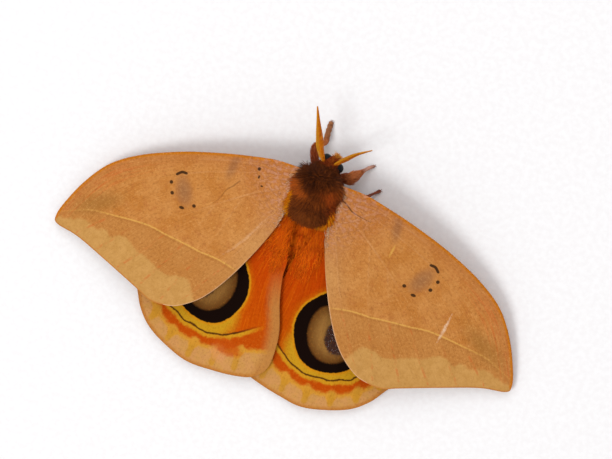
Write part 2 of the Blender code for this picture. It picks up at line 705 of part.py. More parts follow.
def main():
    clear_scene()
    moth = new_collection("automeris_excreta")
    nodes = {name: wing_node(name, moth) for name in WINGS}
    nodes.update({name: leg(name, moth) for name in LEG_JOINTS})
    nodes.update({name: antenna(name, moth) for name in ANTENNA_SHAFTS})
    nodes.update({name: eye(name, moth) for name in EYES})
    nodes["thorax"] = rounded_body("thorax", moth, THORAX_CENTRE, THORAX_RADII, THORAX_POWER)
    nodes["abdomen"] = abdomen_body("abdomen", moth)
    nodes["head"] = head_core("head", moth)
    wings = [nodes[name] for name in WINGS]
    legs = [nodes[name] for name in LEG_JOINTS]
    head_parts = [nodes[name] for name in EYES + list(ANTENNA_SHAFTS)]
    coat(
        nodes["thorax"], THORAX_ROWS, THORAX_CENTRE[::2], THORAX_LOCK_WIDTH, THORAX_LOCK_LIFT,
        wings + legs + [nodes["head"], nodes["abdomen"]],
    )
    coat(
        nodes["abdomen"], ABDOMEN_ROWS, ABDOMEN_AXIS, ABDOMEN_LOCK_WIDTH, ABDOMEN_LOCK_LIFT,
        wings, seed=2,
    )
    coat(
        nodes["head"], HEAD_ROWS, HEAD_CENTRE[::2], HEAD_LOCK_WIDTH, HEAD_LOCK_LIFT,
        head_parts, HEAD_TURN, seed=3,
    )
    all_wings = [(wing_node, name) for name in WINGS]
    all_legs = [(leg, name) for name in LEG_JOINTS]
    feelers = [(antenna, name) for name in ANTENNA_SHAFTS]
    eyes = [(eye, name) for name in EYES]
    cut_room(nodes["head"], eyes + feelers)
    cut_room(nodes["abdomen"], all_wings[2:])
    bodies = [(head_core, "head"), (abdomen_body, "abdomen")]
    cut_room(nodes["thorax"], bodies + all_wings + all_legs + feelers + eyes)

    stance = bpy.data.objects.new("stance", None)
    stance.location = Vector(STANCE) * METRES_PER_MM
    moth.objects.link(stance)
    materials = {name: new_material(name, colour) for name, colour in COLOURS.items()}
    for name, obj in nodes.items():
        obj.data.transform(Matrix.Scale(METRES_PER_MM, 4))
        obj.parent = stance
        obj.data.materials.clear()
        obj.data.materials.append(materials[name.split("_")[0]])
        obj.data.shade_smooth()
        obj.data.set_sharp_from_angle(angle=SHARP_ANGLE)


main()
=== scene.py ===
"""A male Automeris excreta moth in its fur, scales and colours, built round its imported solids.

Lengths are in millimetres in the moth's own frame until settle() carries a finished mesh to the model's
frame, in metres. The moth's frame has its origin on the floor under the middle of the thorax, with +X its
right, +Y its head end and +Z up. Wings are drawn in plan as right wings, and Wing.put() sets them in place.
"""

import math

import bmesh
import bpy
import numpy as np
from mathutils import Matrix, Vector


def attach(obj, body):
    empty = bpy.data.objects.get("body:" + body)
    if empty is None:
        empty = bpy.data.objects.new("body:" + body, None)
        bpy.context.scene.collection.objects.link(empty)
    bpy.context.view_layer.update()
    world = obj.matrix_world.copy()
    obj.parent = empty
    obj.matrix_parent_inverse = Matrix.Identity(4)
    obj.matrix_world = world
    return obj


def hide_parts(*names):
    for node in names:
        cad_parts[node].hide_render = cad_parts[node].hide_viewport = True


METRES_PER_MM = 0.001
STANCE = Vector((0.0, 13.2, 0.0))

# Wings
FOREWING_OUTLINE = [
    (2.2, 3.2), (8.7, 3.8), (15.7, 2.4), (22.8, 0.4), (30.2, -2.2), (38.0, -5.9), (43.8, -10.1),
    (47.8, -15.6), (50.6, -21.6), (51.5, -25.0), (50.6, -26.5), (45.3, -27.4), (37.3, -30.1),
    (29.5, -32.9), (26.0, -34.2), (22.6, -34.0), (19.4, -32.9), (15.2, -29.4), (11.4, -23.7),
    (7.7, -15.9), (5.3, -9.4), (4.6, -6.0), (3.9, -3.5), (2.2, -2.1),
]
FOREWING_CORNERS = (9, 15, 23)
FOREWING_VEINS = {
    "subcosta": [(5.0, 2.7), (16.0, 0.9), (28.0, -2.9), (37.5, -7.2)],
    "radius": [(5.2, 1.2), (16.0, -1.3), (27.0, -5.8), (36.0, -10.9), (44.5, -17.0), (49.6, -24.6)],
    "radius_fork": [(36.0, -10.9), (42.0, -12.7), (46.9, -16.4)],
    "media_1": [(27.0, -5.8), (33.0, -12.4), (39.5, -20.1), (45.8, -26.6)],
    "media_2": [(28.0, -11.9), (33.0, -19.1), (40.4, -28.1)],
    "media_3": [(24.5, -14.2), (28.5, -21.6), (34.8, -30.2)],
    "cubitus": [(5.4, -0.4), (14.0, -5.8), (24.5, -14.2)],
    "cubitus_1": [(19.2, -10.1), (23.4, -21.1), (29.2, -32.1)],
    "cubitus_2": [(14.0, -5.8), (17.2, -17.0), (23.6, -32.9)],
    "cell_end": [(27.0, -5.8), (28.0, -11.9), (24.5, -14.2)],
    "anal": [(5.4, -2.3), (9.2, -12.9), (14.0, -23.1), (19.6, -31.7)],
}
FOREWING_HEIGHT = 10.0
FOREWING_DROOP = 0.145
FOREWING_PITCH = 0.06
FOREWING_HINGE = (4.6, 3.5)

HINDWING_OUTLINE = [
    (2.4, -0.8), (5.6, 0.3), (10.0, -1.2), (18.0, -5.8), (26.0, -13.8), (30.4, -22.0), (31.0, -27.5),
    (29.8, -31.2), (27.1, -34.6), (24.5, -38.3), (21.0, -41.2), (16.0, -43.2), (10.8, -44.3),
    (5.3, -43.7), (-0.5, -42.3), (-3.4, -41.0), (-5.3, -38.6), (-5.7, -35.5), (-4.8, -29.5),
    (-2.3, -23.0), (-0.8, -18.0), (-0.2, -14.4), (1.4, -10.4), (2.8, -6.8), (2.3, -4.4),
]
HINDWING_CORNERS = (7, 16, 24)
HINDWING_VEINS = {
    "subcosta": [(5.6, -1.4), (14.0, -6.6), (23.0, -15.0), (28.6, -26.0)],
    "radius": [(5.6, -2.8), (13.0, -9.5), (20.0, -19.5), (25.6, -34.6)],
    "media_1": [(13.0, -9.5), (17.0, -20.5), (21.6, -39.0)],
    "media_2": [(12.2, -15.6), (14.2, -26.0), (16.6, -41.6)],
    "media_3": [(9.6, -17.4), (10.6, -28.0), (11.2, -42.8)],
    "cubitus": [(5.0, -4.4), (7.2, -11.0), (9.6, -17.4)],
    "cubitus_2": [(7.2, -11.0), (6.6, -24.0), (5.8, -42.2)],
    "anal": [(4.2, -6.6), (3.2, -20.0), (1.0, -41.0)],
}
HINDWING_HINGE = (4.6, -1.0)
HINDWING_MARGIN_HEIGHT = 1.7
HINDWING_RISE = 6.5
HINDWING_TOP_Y = -3.0
HINDWING_REACH = (40.0, 42.0)
HUMP_HEIGHT = 1.6
HUMP_Y = -22.0
HUMP_REACH = (8.0, 9.0)
LAP = 0.6
LAP_HALF_WIDTH = 6.0
LAP_SIDE_FADE = 4.0
LAP_START_Y = -8.0
LAP_START_FADE = 5.0
# The left wings don't lie as the right ones do: how far each is turned about its hinge and set forward.
SWINGS = {"forewing_left": math.radians(1.2), "hindwing_left": math.radians(6.0)}
ADVANCES = {"forewing_left": 0.65}

WING_THICKNESS = 0.24
WING_EDGE_THICKNESS = 0.1
WING_EDGE_TAPER = 0.7
VEIN_RISE = 0.09
VEIN_HALF_WIDTH = 0.42
VEIN_ROUNDING = 0.7
# A pleat follows each vein. Its level is the share of its depth that lies below the wing's middle surface.
PLEAT_DEPTH = 0.13
PLEAT_HALF_WIDTH = 1.1
PLEAT_LEVEL = 0.4
WING_GRIDS = {"forewing": (210, 104), "hindwing": (180, 112)}
RIM_STEPS = 8
# How far apart a wing's two faces start, in the unit square, so that they can be told apart.
SHEET_GAP = 0.01

# Marks of the forewing
POSTMEDIAL_LINE = [
    (7.0, -21.6), (10.8, -21.1), (14.5, -20.5), (18.8, -20.4), (23.1, -20.0), (27.3, -19.7),
    (31.6, -19.3), (36.1, -19.7), (40.6, -20.3), (44.5, -20.9), (48.3, -22.5), (51.0, -23.8),
]
SUBMARGINAL_EDGE = [
    (16.2, -31.6), (18.0, -28.8), (19.5, -27.0), (21.7, -27.1), (24.1, -27.8), (26.6, -27.2),
    (28.5, -26.4), (30.4, -25.7), (32.5, -25.2), (34.6, -23.9), (36.8, -23.7), (38.3, -24.8),
    (40.1, -23.7), (42.1, -24.4), (45.0, -23.4), (49.0, -24.6), (53.0, -25.4),
]
DISCAL_BAR = [(27.2, -5.9), (28.2, -6.0), (29.1, -6.8)]
# Each dark dot: its centre and its radii, along the wing and across it.
DISCAL_DOTS = [
    ((29.7, -8.8), (0.42, 0.42)), ((28.8, -10.9), (0.45, 0.42)),
    ((25.8, -13.1), (0.62, 0.34)), ((23.4, -11.8), (0.45, 0.4)),
]
DISCAL_OVAL = ((26.5, -9.6), (1.9, 3.3), math.radians(-28.0))
# Only the left forewing shows these dots near its base, and only the right one the yellow mark.
ANTEMEDIAL_DOTS = [((12.8, 0.6), (0.4, 0.42)), ((12.3, -1.0), (0.22, 0.42)), ((11.1, -2.6), (0.3, 0.2))]
APEX_SMUDGE = ((43.6, -19.0), (6.5, 2.3), math.radians(-33.0))
# Where each forewing has a pale line of rubbed-off scales with a painted highlight along a crease, and how
# pale it is.
RUBBED_AND_LIT_LINES = {
    "forewing_left": ([(7.0, -6.9), (8.7, -10.3), (10.7, -14.3), (13.0, -17.7), (15.0, -20.3)], 0.24),
    "forewing_right": ([(34.7, -14.2), (34.4, -16.4), (34.1, -18.8), (33.4, -22.0)], 0.85),
}
# A crease in each forewing, painted as a dark line of shade, and how dark that painted shade is.
CREASES = {
    "forewing_left": ([(15.9, -3.3), (16.9, -4.8), (18.0, -6.1), (18.7, -8.2), (19.8, -9.8)], 0.4),
    "forewing_right": ([(4.6, 1.4), (6.6, 0.7), (8.3, -0.5), (10.2, -1.0), (12.6, -1.4)], 0.95),
}
COSTA_SMUDGE = ((18.2, -0.9), (1.2, 3.4), math.radians(8.0))
YELLOW_MARK = ((18.7, -5.7), (0.28, 1.5), math.radians(-8.0))

SPOT_BELOW = ((26.8, -9.8), (2.6, 2.6), 0.0)

# Marks of the hindwing
RING = [
    (13.6, -17.9), (11.0, -17.7), (8.4, -18.9), (6.5, -20.8), (5.0, -22.9), (4.2, -25.6), (4.3, -28.4),
    (5.2, -31.2), (6.8, -33.8), (8.8, -35.2), (11.4, -35.7), (14.4, -35.3), (17.3, -33.9), (19.4, -31.4),
    (20.6, -28.0), (20.5, -24.4), (19.0, -20.9), (16.6, -18.8),
]
DISC = [
    (12.8, -20.7), (10.2, -20.9), (8.3, -22.1), (7.2, -24.5), (7.0, -27.5), (7.7, -30.1), (9.0, -32.0),
    (10.9, -33.3), (13.0, -33.6), (15.4, -32.8), (17.3, -31.0), (18.2, -28.2), (18.1, -25.0), (16.9, -22.5),
    (15.2, -21.2),
]
# On the left hindwing the eyespot and the wavy line lie this much further out and forward.
LEFT_EYESPOT_SHIFT = (0.4, 0.9)
LEFT_LINE_SHIFT = (0.1, 0.5)
PUPIL = ((13.9, -27.0), (3.0, 4.4))
WAVY_LINE = [
    (-3.0, -28.6), (-0.6, -30.6), (2.7, -33.6), (4.3, -34.9), (5.8, -36.0), (7.8, -36.7), (9.5, -37.2),
    (11.7, -37.1), (13.2, -36.8), (14.4, -37.0), (16.0, -36.4), (16.9, -35.9), (19.0, -35.3), (20.4, -33.6),
    (22.0, -32.2), (22.9, -29.6), (24.2, -27.2), (23.9, -24.2), (24.0, -20.8), (22.6, -17.0),
]
BAND_EDGE = [
    (-5.0, -34.4), (-1.5, -35.8), (1.9, -37.4), (3.8, -38.4), (6.8, -39.3), (10.4, -39.9), (13.8, -39.8),
    (17.0, -39.3), (19.8, -37.8), (21.7, -36.7), (23.7, -34.6), (25.6, -31.6), (26.8, -27.8), (26.6, -23.4),
    (25.2, -18.4), (23.6, -15.0),
]

WARM_CELL = ((5.4, -39.6), (2.3, 2.2), 0.0)
BROAD_BAND = ((4.2, -37.6), (3.6, 1.9), 0.0)
# The pale fold along the inner margin: how wide it is, and where it starts and is full. The first is for
# the wing that lies under the other, and the second for the one that lies over it.
FOLD_WIDTHS = (1.4, 3.6)
FOLD_STARTS = ((-30.0, -40.0), (-14.0, -26.0))
DOT_BELOW = ((12.6, -24.0), (0.6, 0.6), 0.0)

# Body: each rounded form has a centre, radii and the power that squares it.
THORAX = ((0.0, -0.3, 7.1), (4.1, 5.4, 3.95), 2.8)
HEAD = ((1.0, 7.25, 6.75), (1.65, 1.5, 1.8), 2.1)
NECK = ((0.4, 5.0, 7.0), (2.6, 2.2, 2.4), 2.0)
HEAD_TURN = math.radians(-20.0)
# The eyes stand to both sides of this point, so far out and so much higher.
EYES_MIDDLE = (1.0, 7.35, 6.8)
EYE_RADIUS = 1.15
EYE_OUT = 1.55
EYE_HEIGHT = -0.1
HEAD_TUFT = (1.5, 8.6)
# Along the abdomen: y, half the width, and the heights of its back and its belly.
ABDOMEN_STATIONS = [
    (-4.0, 2.8, 8.4, 3.2), (-9.0, 3.2, 6.4, 2.1), (-14.0, 3.2, 5.6, 1.5), (-19.0, 2.9, 5.2, 1.3),
    (-24.0, 2.1, 4.2, 1.2), (-26.8, 1.2, 3.2, 1.4),
]
ABDOMEN_RING_STEP = 2.7
ABDOMEN_RING_DEPTH = 0.16
SKIN_VOXEL = 0.24
FORM_CUTS = 15
ABDOMEN_CUTS = 23
# The body's coat unwraps round a line at this height, between these ends of y.
COAT_AXIS_HEIGHT = 6.0
COAT_ENDS = (-30.0, 12.0)

# Where the thorax's coat ends: y for each x before the head, and y behind the wings.
COAT_FRONT = ((-5.0, -2.6, 0.0, 3.0, 5.0), (6.4, 6.7, 6.1, 5.6, 5.0))
COAT_BACK = -6.6
# Its shortest and its longest tuft
THORAX_TUFT = (0.6, 2.7)

# The seeds of the coats. The wings' and the legs' are counted on from theirs.
BODY_SEED = 7
WING_SEED = 20
LEG_SEED = 40
# How many tufts each coat has.
THORAX_TUFTS = 11800
ABDOMEN_TUFTS = 11800
HEAD_TUFTS = 5200
SIDE_PLUMES = 1700
LEG_TUFTS = 3600

# Legs: each joint from the root in the thorax to the toe, and the limb's radius there under its scales
TOE_HEIGHT = 0.25
# Nothing of a leg or its coat reaches lower than this.
LOWEST = 0.02
LEG_JOINTS = {
    "leg_fore_left": [
        (-1.8, 4.6, 4.9), (-3.1, 7.0, 4.2), (-3.8, 9.1, 4.2), (-3.1, 10.1, 3.3),
        (-2.3, 10.8, 2.0), (-2.5, 12.8, 0.9), (-2.6, 14.9, TOE_HEIGHT),
    ],
    "leg_fore_right": [
        (1.9, 4.2, 4.9), (3.6, 4.8, 4.2), (4.9, 5.2, 4.4), (6.1, 6.2, 3.3),
        (7.2, 7.5, 1.9), (7.9, 8.3, 0.8), (8.9, 9.1, TOE_HEIGHT),
    ],
    "leg_mid_left": [
        (-2.6, 0.6, 4.6), (-5.0, 1.0, 4.2), (-7.4, 1.0, 5.0), (-9.2, 0.8, 3.4),
        (-10.8, 0.6, 1.7), (-11.9, 0.4, 0.8), (-13.2, 0.2, TOE_HEIGHT),
    ],
    "leg_mid_right": [
        (2.6, 0.6, 4.6), (5.0, 1.1, 4.2), (7.3, 1.4, 5.0), (8.8, 2.0, 3.4),
        (10.0, 3.0, 1.7), (10.9, 3.8, 0.8), (11.8, 4.6, TOE_HEIGHT),
    ],
    "leg_hind_left": [
        (-2.4, -3.2, 4.8), (-5.6, -5.6, 4.2), (-8.2, -9.4, 4.6), (-9.4, -13.2, 3.1),
        (-10.4, -17.0, 1.6), (-11.0, -20.0, 0.8), (-11.6, -23.6, TOE_HEIGHT),
    ],
    "leg_hind_right": [
        (2.4, -3.2, 4.8), (5.6, -5.6, 4.2), (8.0, -9.6, 4.6), (9.0, -13.6, 3.1),
        (9.8, -17.4, 1.6), (10.4, -20.4, 0.8), (11.0, -24.0, TOE_HEIGHT),
    ],
}
LEG_RADII = {
    "leg_fore_left": [0.5, 0.5, 0.4, 0.45, 0.44, 0.43, 0.44],
    "leg_fore_right": [0.5, 0.7, 0.88, 0.64, 0.32, 0.3, 0.26],
    "leg_mid_right": [0.5, 0.5, 0.36, 0.36, 0.24, 0.22, 0.34],
    "other": [0.5, 0.5, 0.36, 0.42, 0.3, 0.25, 0.25],
}
# How much its beads swell a foot, and how many come from one of the leg's points to the next
FOOT_SWELL = 0.16
FOOT_BEADS = 2.2
CLAW_RADII = (0.1, 0.07, 0.02)
# The length of each leg's scales and hairs at its joints
LEG_FUR = {
    "leg_fore_left": [1.3, 1.3, 0.9, 0.8, 0.7, 0.6, 0.35],
    "leg_fore_right": [1.3, 1.6, 1.5, 0.9, 0.4, 0.3, 0.25],
    "leg_mid_right": [1.3, 1.2, 0.9, 0.7, 0.3, 0.25, 0.2],
    "other": [1.3, 1.2, 1.1, 1.1, 0.7, 0.45, 0.35],
}

# Antennae
ANTENNA_SHAFTS = {
    "antenna_left": [(-0.2, 6.5, 7.9), (-2.0, 9.3, 8.9), (-3.7, 13.2, 9.2), (-5.6, 17.7, 8.9)],
    "antenna_right": [(0.8, 6.4, 7.9), (2.9, 8.7, 8.9), (5.2, 10.9, 9.2), (8.1, 12.8, 8.9)],
}
ANTENNA_ROLLS = {"antenna_left": math.radians(10.0), "antenna_right": math.radians(62.0)}
# The shaft's radii at shares of its length.
ANTENNA_RADII = ((0.0, 0.05, 0.1, 0.33, 0.66, 1.0), (0.26, 0.28, 0.26, 0.22, 0.17, 0.08))
RAY_PAIRS = 72
RAY_LENGTH = 1.45
# At these shares of the shaft, how long the rays are as shares of the longest.
RAY_SHARES = [0.06, 0.12, 0.3, 0.5, 0.68, 0.85, 0.98]
RAY_PROFILE = [0.4, 0.7, 1.0, 0.8, 0.52, 0.32, 0.16]
RAY_LEAN = 1.1
RAY_RADIUS = 0.085
RAY_TAPER = (1.0, 1.0, 0.9, 0.35)
# Every other pair of rays curls to the feather's upper face, and the rest a very little away from it.
RAY_CURLS = (-0.02, 0.14)

# Camera: its place is worked out from the point of the photo where the moth's axis stands
PHOTO_SIZE = (612, 459)
AXIS_PIXEL = (317.0, 195.0)
AXIS_HEIGHT = 6.0
PIXELS_PER_MM = 4.8
CAMERA_TILTS = (math.radians(5.0), math.radians(7.0))
CAMERA_ROLL = math.radians(19.5)
CAMERA_DISTANCE = 420.0
SENSOR = 36.0

# Stage, in metres. A light stands so far from the model's origin towards the camera, the picture's right
# and its top. Then come its size, its power and its colour.
FLOOR_HALF_SIZE = 3.0
LIGHTS = (
    ("key", (0.96, -0.68, -0.44), 0.46, 6.5, (0.98, 1.0, 1.0)),
    ("fill", (0.62, 0.0, 0.5), 0.6, 1.6, (0.98, 0.98, 1.0)),
)
WORLD_COLOUR = (1.0, 0.965, 0.96, 1.0)
WORLD_STRENGTH = 0.64


def tone(red, green, blue):
    """A colour that is written as it is seen, from 0 to 255, as the linear one that shaders take."""
    def linear(part):
        part /= 255.0
        return part / 12.92 if part <= 0.04045 else ((part + 0.055) / 1.055) ** 2.4
    return (linear(red), linear(green), linear(blue), 1.0)


class Value:
    """A number or a colour in a material. Python sums on it add the shader's own maths."""

    def __init__(self, finish, socket):
        self.finish = finish
        self.socket = socket

    def maths(self, operation, *others):
        return self.finish.add("ShaderNodeMath", {"operation": operation}, {
            place: value for place, value in enumerate((self, *others))
        })

    def __add__(self, other):
        return self.maths("ADD", other)

    __radd__ = __add__

    def __mul__(self, other):
        return self.maths("MULTIPLY", other)

    __rmul__ = __mul__

    def __sub__(self, other):
        return self.maths("SUBTRACT", other)

    def __rsub__(self, other):
        return (self * -1.0) + other

    def __truediv__(self, other):
        return self.maths("DIVIDE", other)

    def __abs__(self):
        return self.maths("ABSOLUTE")

    def high(self, other):
        return self.maths("MAXIMUM", other)

    def sine(self):
        return self.maths("SINE")

    def step(self, start, end):
        """0 before start, 1 past end and smooth in between. The start may be the higher one."""
        low, high, first, last = (start, end, 0.0, 1.0) if start < end else (end, start, 1.0, 0.0)
        return self.finish.add(
            "ShaderNodeMapRange", {"interpolation_type": "SMOOTHSTEP"},
            {0: self, 1: low, 2: high, 3: first, 4: last},
        )

    def within(self, half_width, soft):
        """1 where the number is nearer to nought than the half width, with a soft edge."""
        return abs(self).step(half_width + soft, half_width - soft)


class Finish:
    """A material whose nodes are added one by one."""

    def __init__(self, name, roughness, shine=0.2, coat=0.0):
        self.material = bpy.data.materials.new(name)
        self.material.use_nodes = True
        self.tree = self.material.node_tree
        self.shader = self.tree.nodes["Principled BSDF"]
        self.shader.inputs["Roughness"].default_value = roughness
        self.shader.inputs["Specular IOR Level"].default_value = shine
        self.shader.inputs["Sheen Roughness"].default_value = 0.5
        self.shader.inputs["Coat Weight"].default_value = coat
        self.shader.inputs["Coat Roughness"].default_value = 0.08

    def add(self, kind, settings, inputs, output=0):
        """One node: its settings, its inputs by name or number, and which of its outputs is wanted."""
        node = self.tree.nodes.new(kind)
        for name, value in settings.items():
            setattr(node, name, value)
        for place, value in inputs.items():
            if isinstance(value, Value):
                self.tree.links.new(value.socket, node.inputs[place])
            else:
                node.inputs[place].default_value = value
        return Value(self, node.outputs[output])

    def set(self, name, value):
        self.tree.links.new(value.socket, self.shader.inputs[name])

    def attribute(self, name, output="Fac"):
        return self.add("ShaderNodeAttribute", {"attribute_name": name}, {}, output)

    def parts(self, vector):
        """The three numbers of a vector."""
        node = self.add("ShaderNodeSeparateXYZ", {}, {0: vector}).socket.node
        return [Value(self, output) for output in node.outputs]

    def stretched(self, vector, scale):
        return self.add("ShaderNodeMapping", {}, {0: vector, "Scale": scale})

    def place(self):
        """Where a point is, in millimetres in the moth's own frame."""
        point = self.add("ShaderNodeTexCoord", {}, {}, "Object")
        return self.add(
            "ShaderNodeMapping", {},
            {0: point, "Location": -STANCE, "Scale": (1.0 / METRES_PER_MM,) * 3},
        )

    def noise(self, vector, scale, detail=2.0, roughness=0.5):
        return self.add("ShaderNodeTexNoise", {}, {
            0: vector, "Scale": scale, "Detail": detail, "Roughness": roughness,
        })

    def cells(self, vector, scale):
        return self.add("ShaderNodeTexVoronoi", {}, {0: vector, "Scale": scale}, "Distance")

    def blend(self, base, colour, mask):
        """The base where the mask is 0 and the colour where it is 1. Each is a link or three numbers."""
        base, colour = (part if isinstance(part, Value) else tone(*part) for part in (base, colour))
        return self.add("ShaderNodeMix", {"data_type": "RGBA"}, {0: mask, 6: base, 7: colour}, 2)

    def bump(self, height, depth_mm, strength):
        """Raises the surface by the height, whose full range is this deep."""
        normal = self.add(
            "ShaderNodeBump", {},
            {"Strength": strength, "Distance": depth_mm * METRES_PER_MM, "Height": height},
        )
        self.set("Normal", normal)

    def oval(self, plan, spot):
        """How far a point is from an oval's centre, 1 on its edge. A spot is a centre, radii and a turn."""
        centre, radii, turn = spot
        x, y, _ = plan
        x, y = x - centre[0], y - centre[1]
        along = x * math.cos(turn) + y * math.sin(turn)
        across = y * math.cos(turn) - x * math.sin(turn)
        along, across = along / radii[0], across / radii[1]
        return (along * along + across * across).maths("SQRT")


def smooth_line(points, steps=6, closed=False):
    """Points on a smooth curve through the given ones, as an array."""
    points = np.array(points, float)
    count = len(points)
    if closed:
        padded = np.vstack([points[-1:], points, points[:2]])
    else:
        padded = np.vstack([2 * points[0] - points[1], points, 2 * points[-1] - points[-2]])
    t = (np.arange(steps) / steps)[:, None]
    curve = []
    for k in range(count if closed else count - 1):
        before, start, end, after = padded[k:k + 4]
        curve.append(0.5 * (
            2 * start + (end - before) * t + (2 * before - 5 * start + 4 * end - after) * t ** 2
            + (3 * start - before - 3 * end + after) * t ** 3
        ))
    if not closed:
        curve.append(points[-1:])
    return np.vstack(curve)


def at_shares(line, shares):
    """Points at these shares of a line's length."""
    lengths = np.concatenate([[0.0], np.cumsum(np.linalg.norm(np.diff(line, axis=0), axis=1))])
    places = shares * lengths[-1]
    return np.stack([np.interp(places, lengths, line[:, k]) for k in range(line.shape[1])], 1)


def distance_to(plan, line):
    """Distance in plan from each point to a line, positive to the left of the line's course."""
    nearest = np.full(len(plan), 1e9)
    side = np.ones(len(plan))
    for start, end in zip(line, line[1:]):
        span = end - start
        offset = plan - start
        share = np.clip(offset @ span / max(span @ span, 1e-12), 0.0, 1.0)
        away = np.linalg.norm(offset - share[:, None] * span, axis=1)
        closer = away < nearest
        nearest[closer] = away[closer]
        turned = span[0] * offset[:, 1] - span[1] * offset[:, 0]
        side[closer] = np.where(turned >= 0.0, 1.0, -1.0)[closer]
    return nearest * side


def closed_line(points, steps=6):
    line = smooth_line(points, steps, closed=True)
    return np.vstack([line, line[:1]])


def smoothstep(value):
    value = np.clip(value, 0.0, 1.0)
    return value * value * (3.0 - 2.0 * value)


def forewing_height(x, y, side):
    """The height of either forewing's middle surface: a plane that droops outwards."""
    return FOREWING_HEIGHT - FOREWING_DROOP * (np.abs(x) - FOREWING_HINGE[0]) + FOREWING_PITCH * (
        y - FOREWING_HINGE[1]
    )


def hindwing_height(x, y, side):
    """The height of a hindwing's middle surface: humped over the abdomen, where the left laps the right."""
    away = np.hypot(x / HINDWING_REACH[0], (y - HINDWING_TOP_Y) / HINDWING_REACH[1])
    height = HINDWING_MARGIN_HEIGHT + HINDWING_RISE * (1.0 - smoothstep(away))
    hump_x, hump_y = x / HUMP_REACH[0], (y - HUMP_Y) / HUMP_REACH[1]
    height = height + HUMP_HEIGHT * np.exp(-(hump_x ** 2) - hump_y ** 2)
    near_middle = 1.0 - smoothstep((np.abs(x) - LAP_HALF_WIDTH) / LAP_SIDE_FADE)
    behind_body = smoothstep((LAP_START_Y - y) / LAP_START_FADE)
    return height - side * LAP * near_middle * behind_body


class Wing:
    """One wing's plan, height and place."""

    def __init__(self, kind, side):
        self.kind = kind
        self.side = 1.0 if side == "right" else -1.0
        self.name = kind + "_" + side
        fore = kind == "forewing"
        self.outline = FOREWING_OUTLINE if fore else HINDWING_OUTLINE
        self.corners = FOREWING_CORNERS if fore else HINDWING_CORNERS
        self.veins = FOREWING_VEINS if fore else HINDWING_VEINS
        self.height = forewing_height if fore else hindwing_height
        self.hinge = np.array(FOREWING_HINGE if fore else HINDWING_HINGE)
        self.swing = SWINGS.get(self.name, 0.0)
        self.advance = ADVANCES.get(self.name, 0.0)
        self.rim = closed_line(self.outline, RIM_STEPS)

    def edges(self):
        """The costa, the outer margin, and the inner margin and base run from the front corner."""
        apex, tornus, rear = (corner * RIM_STEPS for corner in self.corners)
        return (
            self.rim[:apex + 1], self.rim[apex:tornus + 1], self.rim[tornus:rear + 1][::-1],
            self.rim[rear:][::-1],
        )

    def plan_at(self, u, v):
        """Plan of the points at shares u of the way out and v of the way from the costa back."""
        costa, outer, inner, base = self.edges()
        u, v = np.asarray(u, float), np.asarray(v, float)
        along = (1 - v)[:, None] * at_shares(costa, u) + v[:, None] * at_shares(inner, u)
        across = (1 - u)[:, None] * at_shares(base, v) + u[:, None] * at_shares(outer, v)
        corners = (
            ((1 - u) * (1 - v))[:, None] * costa[0] + (u * (1 - v))[:, None] * costa[-1]
            + ((1 - u) * v)[:, None] * inner[0] + (u * v)[:, None] * inner[-1]
        )
        return along + across - corners

    def put(self, plan, above):
        """Sets points of the plan in their place, so far above the wing's middle surface."""
        cosine, sine = math.cos(self.swing), math.sin(self.swing)
        offset = plan - self.hinge
        x = (offset[:, 0] * cosine - offset[:, 1] * sine + self.hinge[0]) * self.side
        y = offset[:, 0] * sine + offset[:, 1] * cosine + self.hinge[1] + self.advance
        return np.stack([x, y, self.height(x, y, self.side) + above], 1)

    def turn(self, ways):
        """Turns directions of the plan as the wing is turned."""
        cosine, sine = math.cos(self.swing), math.sin(self.swing)
        x = (ways[:, 0] * cosine - ways[:, 1] * sine) * self.side
        return np.stack([x, ways[:, 0] * sine + ways[:, 1] * cosine, ways[:, 2]], 1)

    def vein_distance(self, plan):
        lines = [smooth_line(vein, 4) for vein in self.veins.values()]
        return np.min([np.abs(distance_to(plan, line)) for line in lines], axis=0)


def note(mesh, name, values):
    """Keeps a number, or a vector, for each vertex."""
    values = np.asarray(values, np.float32)
    if values.ndim == 1:
        mesh.attributes.new(name, "FLOAT", "POINT").data.foreach_set("value", values)
    else:
        mesh.attributes.new(name, "FLOAT_VECTOR", "POINT").data.foreach_set("vector", values.ravel())


def coordinates(mesh):
    places = np.empty(len(mesh.vertices) * 3, np.float32)
    mesh.vertices.foreach_get("co", places)
    return places.reshape(-1, 3).astype(float)


def linked(name, data):
    """A new object in the scene for a mesh, a light or a camera."""
    thing = bpy.data.objects.new(name, data)
    bpy.context.scene.collection.objects.link(thing)
    return thing


def settle(name, mesh, finish, replaced=()):
    """Makes a mesh in millimetres a finished piece of the moth."""
    mesh.transform(Matrix.Scale(METRES_PER_MM, 4) @ Matrix.Translation(STANCE))
    mesh.materials.clear()
    mesh.materials.append(finish.material)
    mesh.shade_smooth()
    piece = linked(name, mesh)
    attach(piece, "root")
    if replaced:
        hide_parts(*replaced)


def mesh_of(bm, name):
    bmesh.ops.recalc_face_normals(bm, faces=bm.faces)
    mesh = bpy.data.meshes.new(name)
    bm.to_mesh(mesh)
    bm.free()
    return mesh


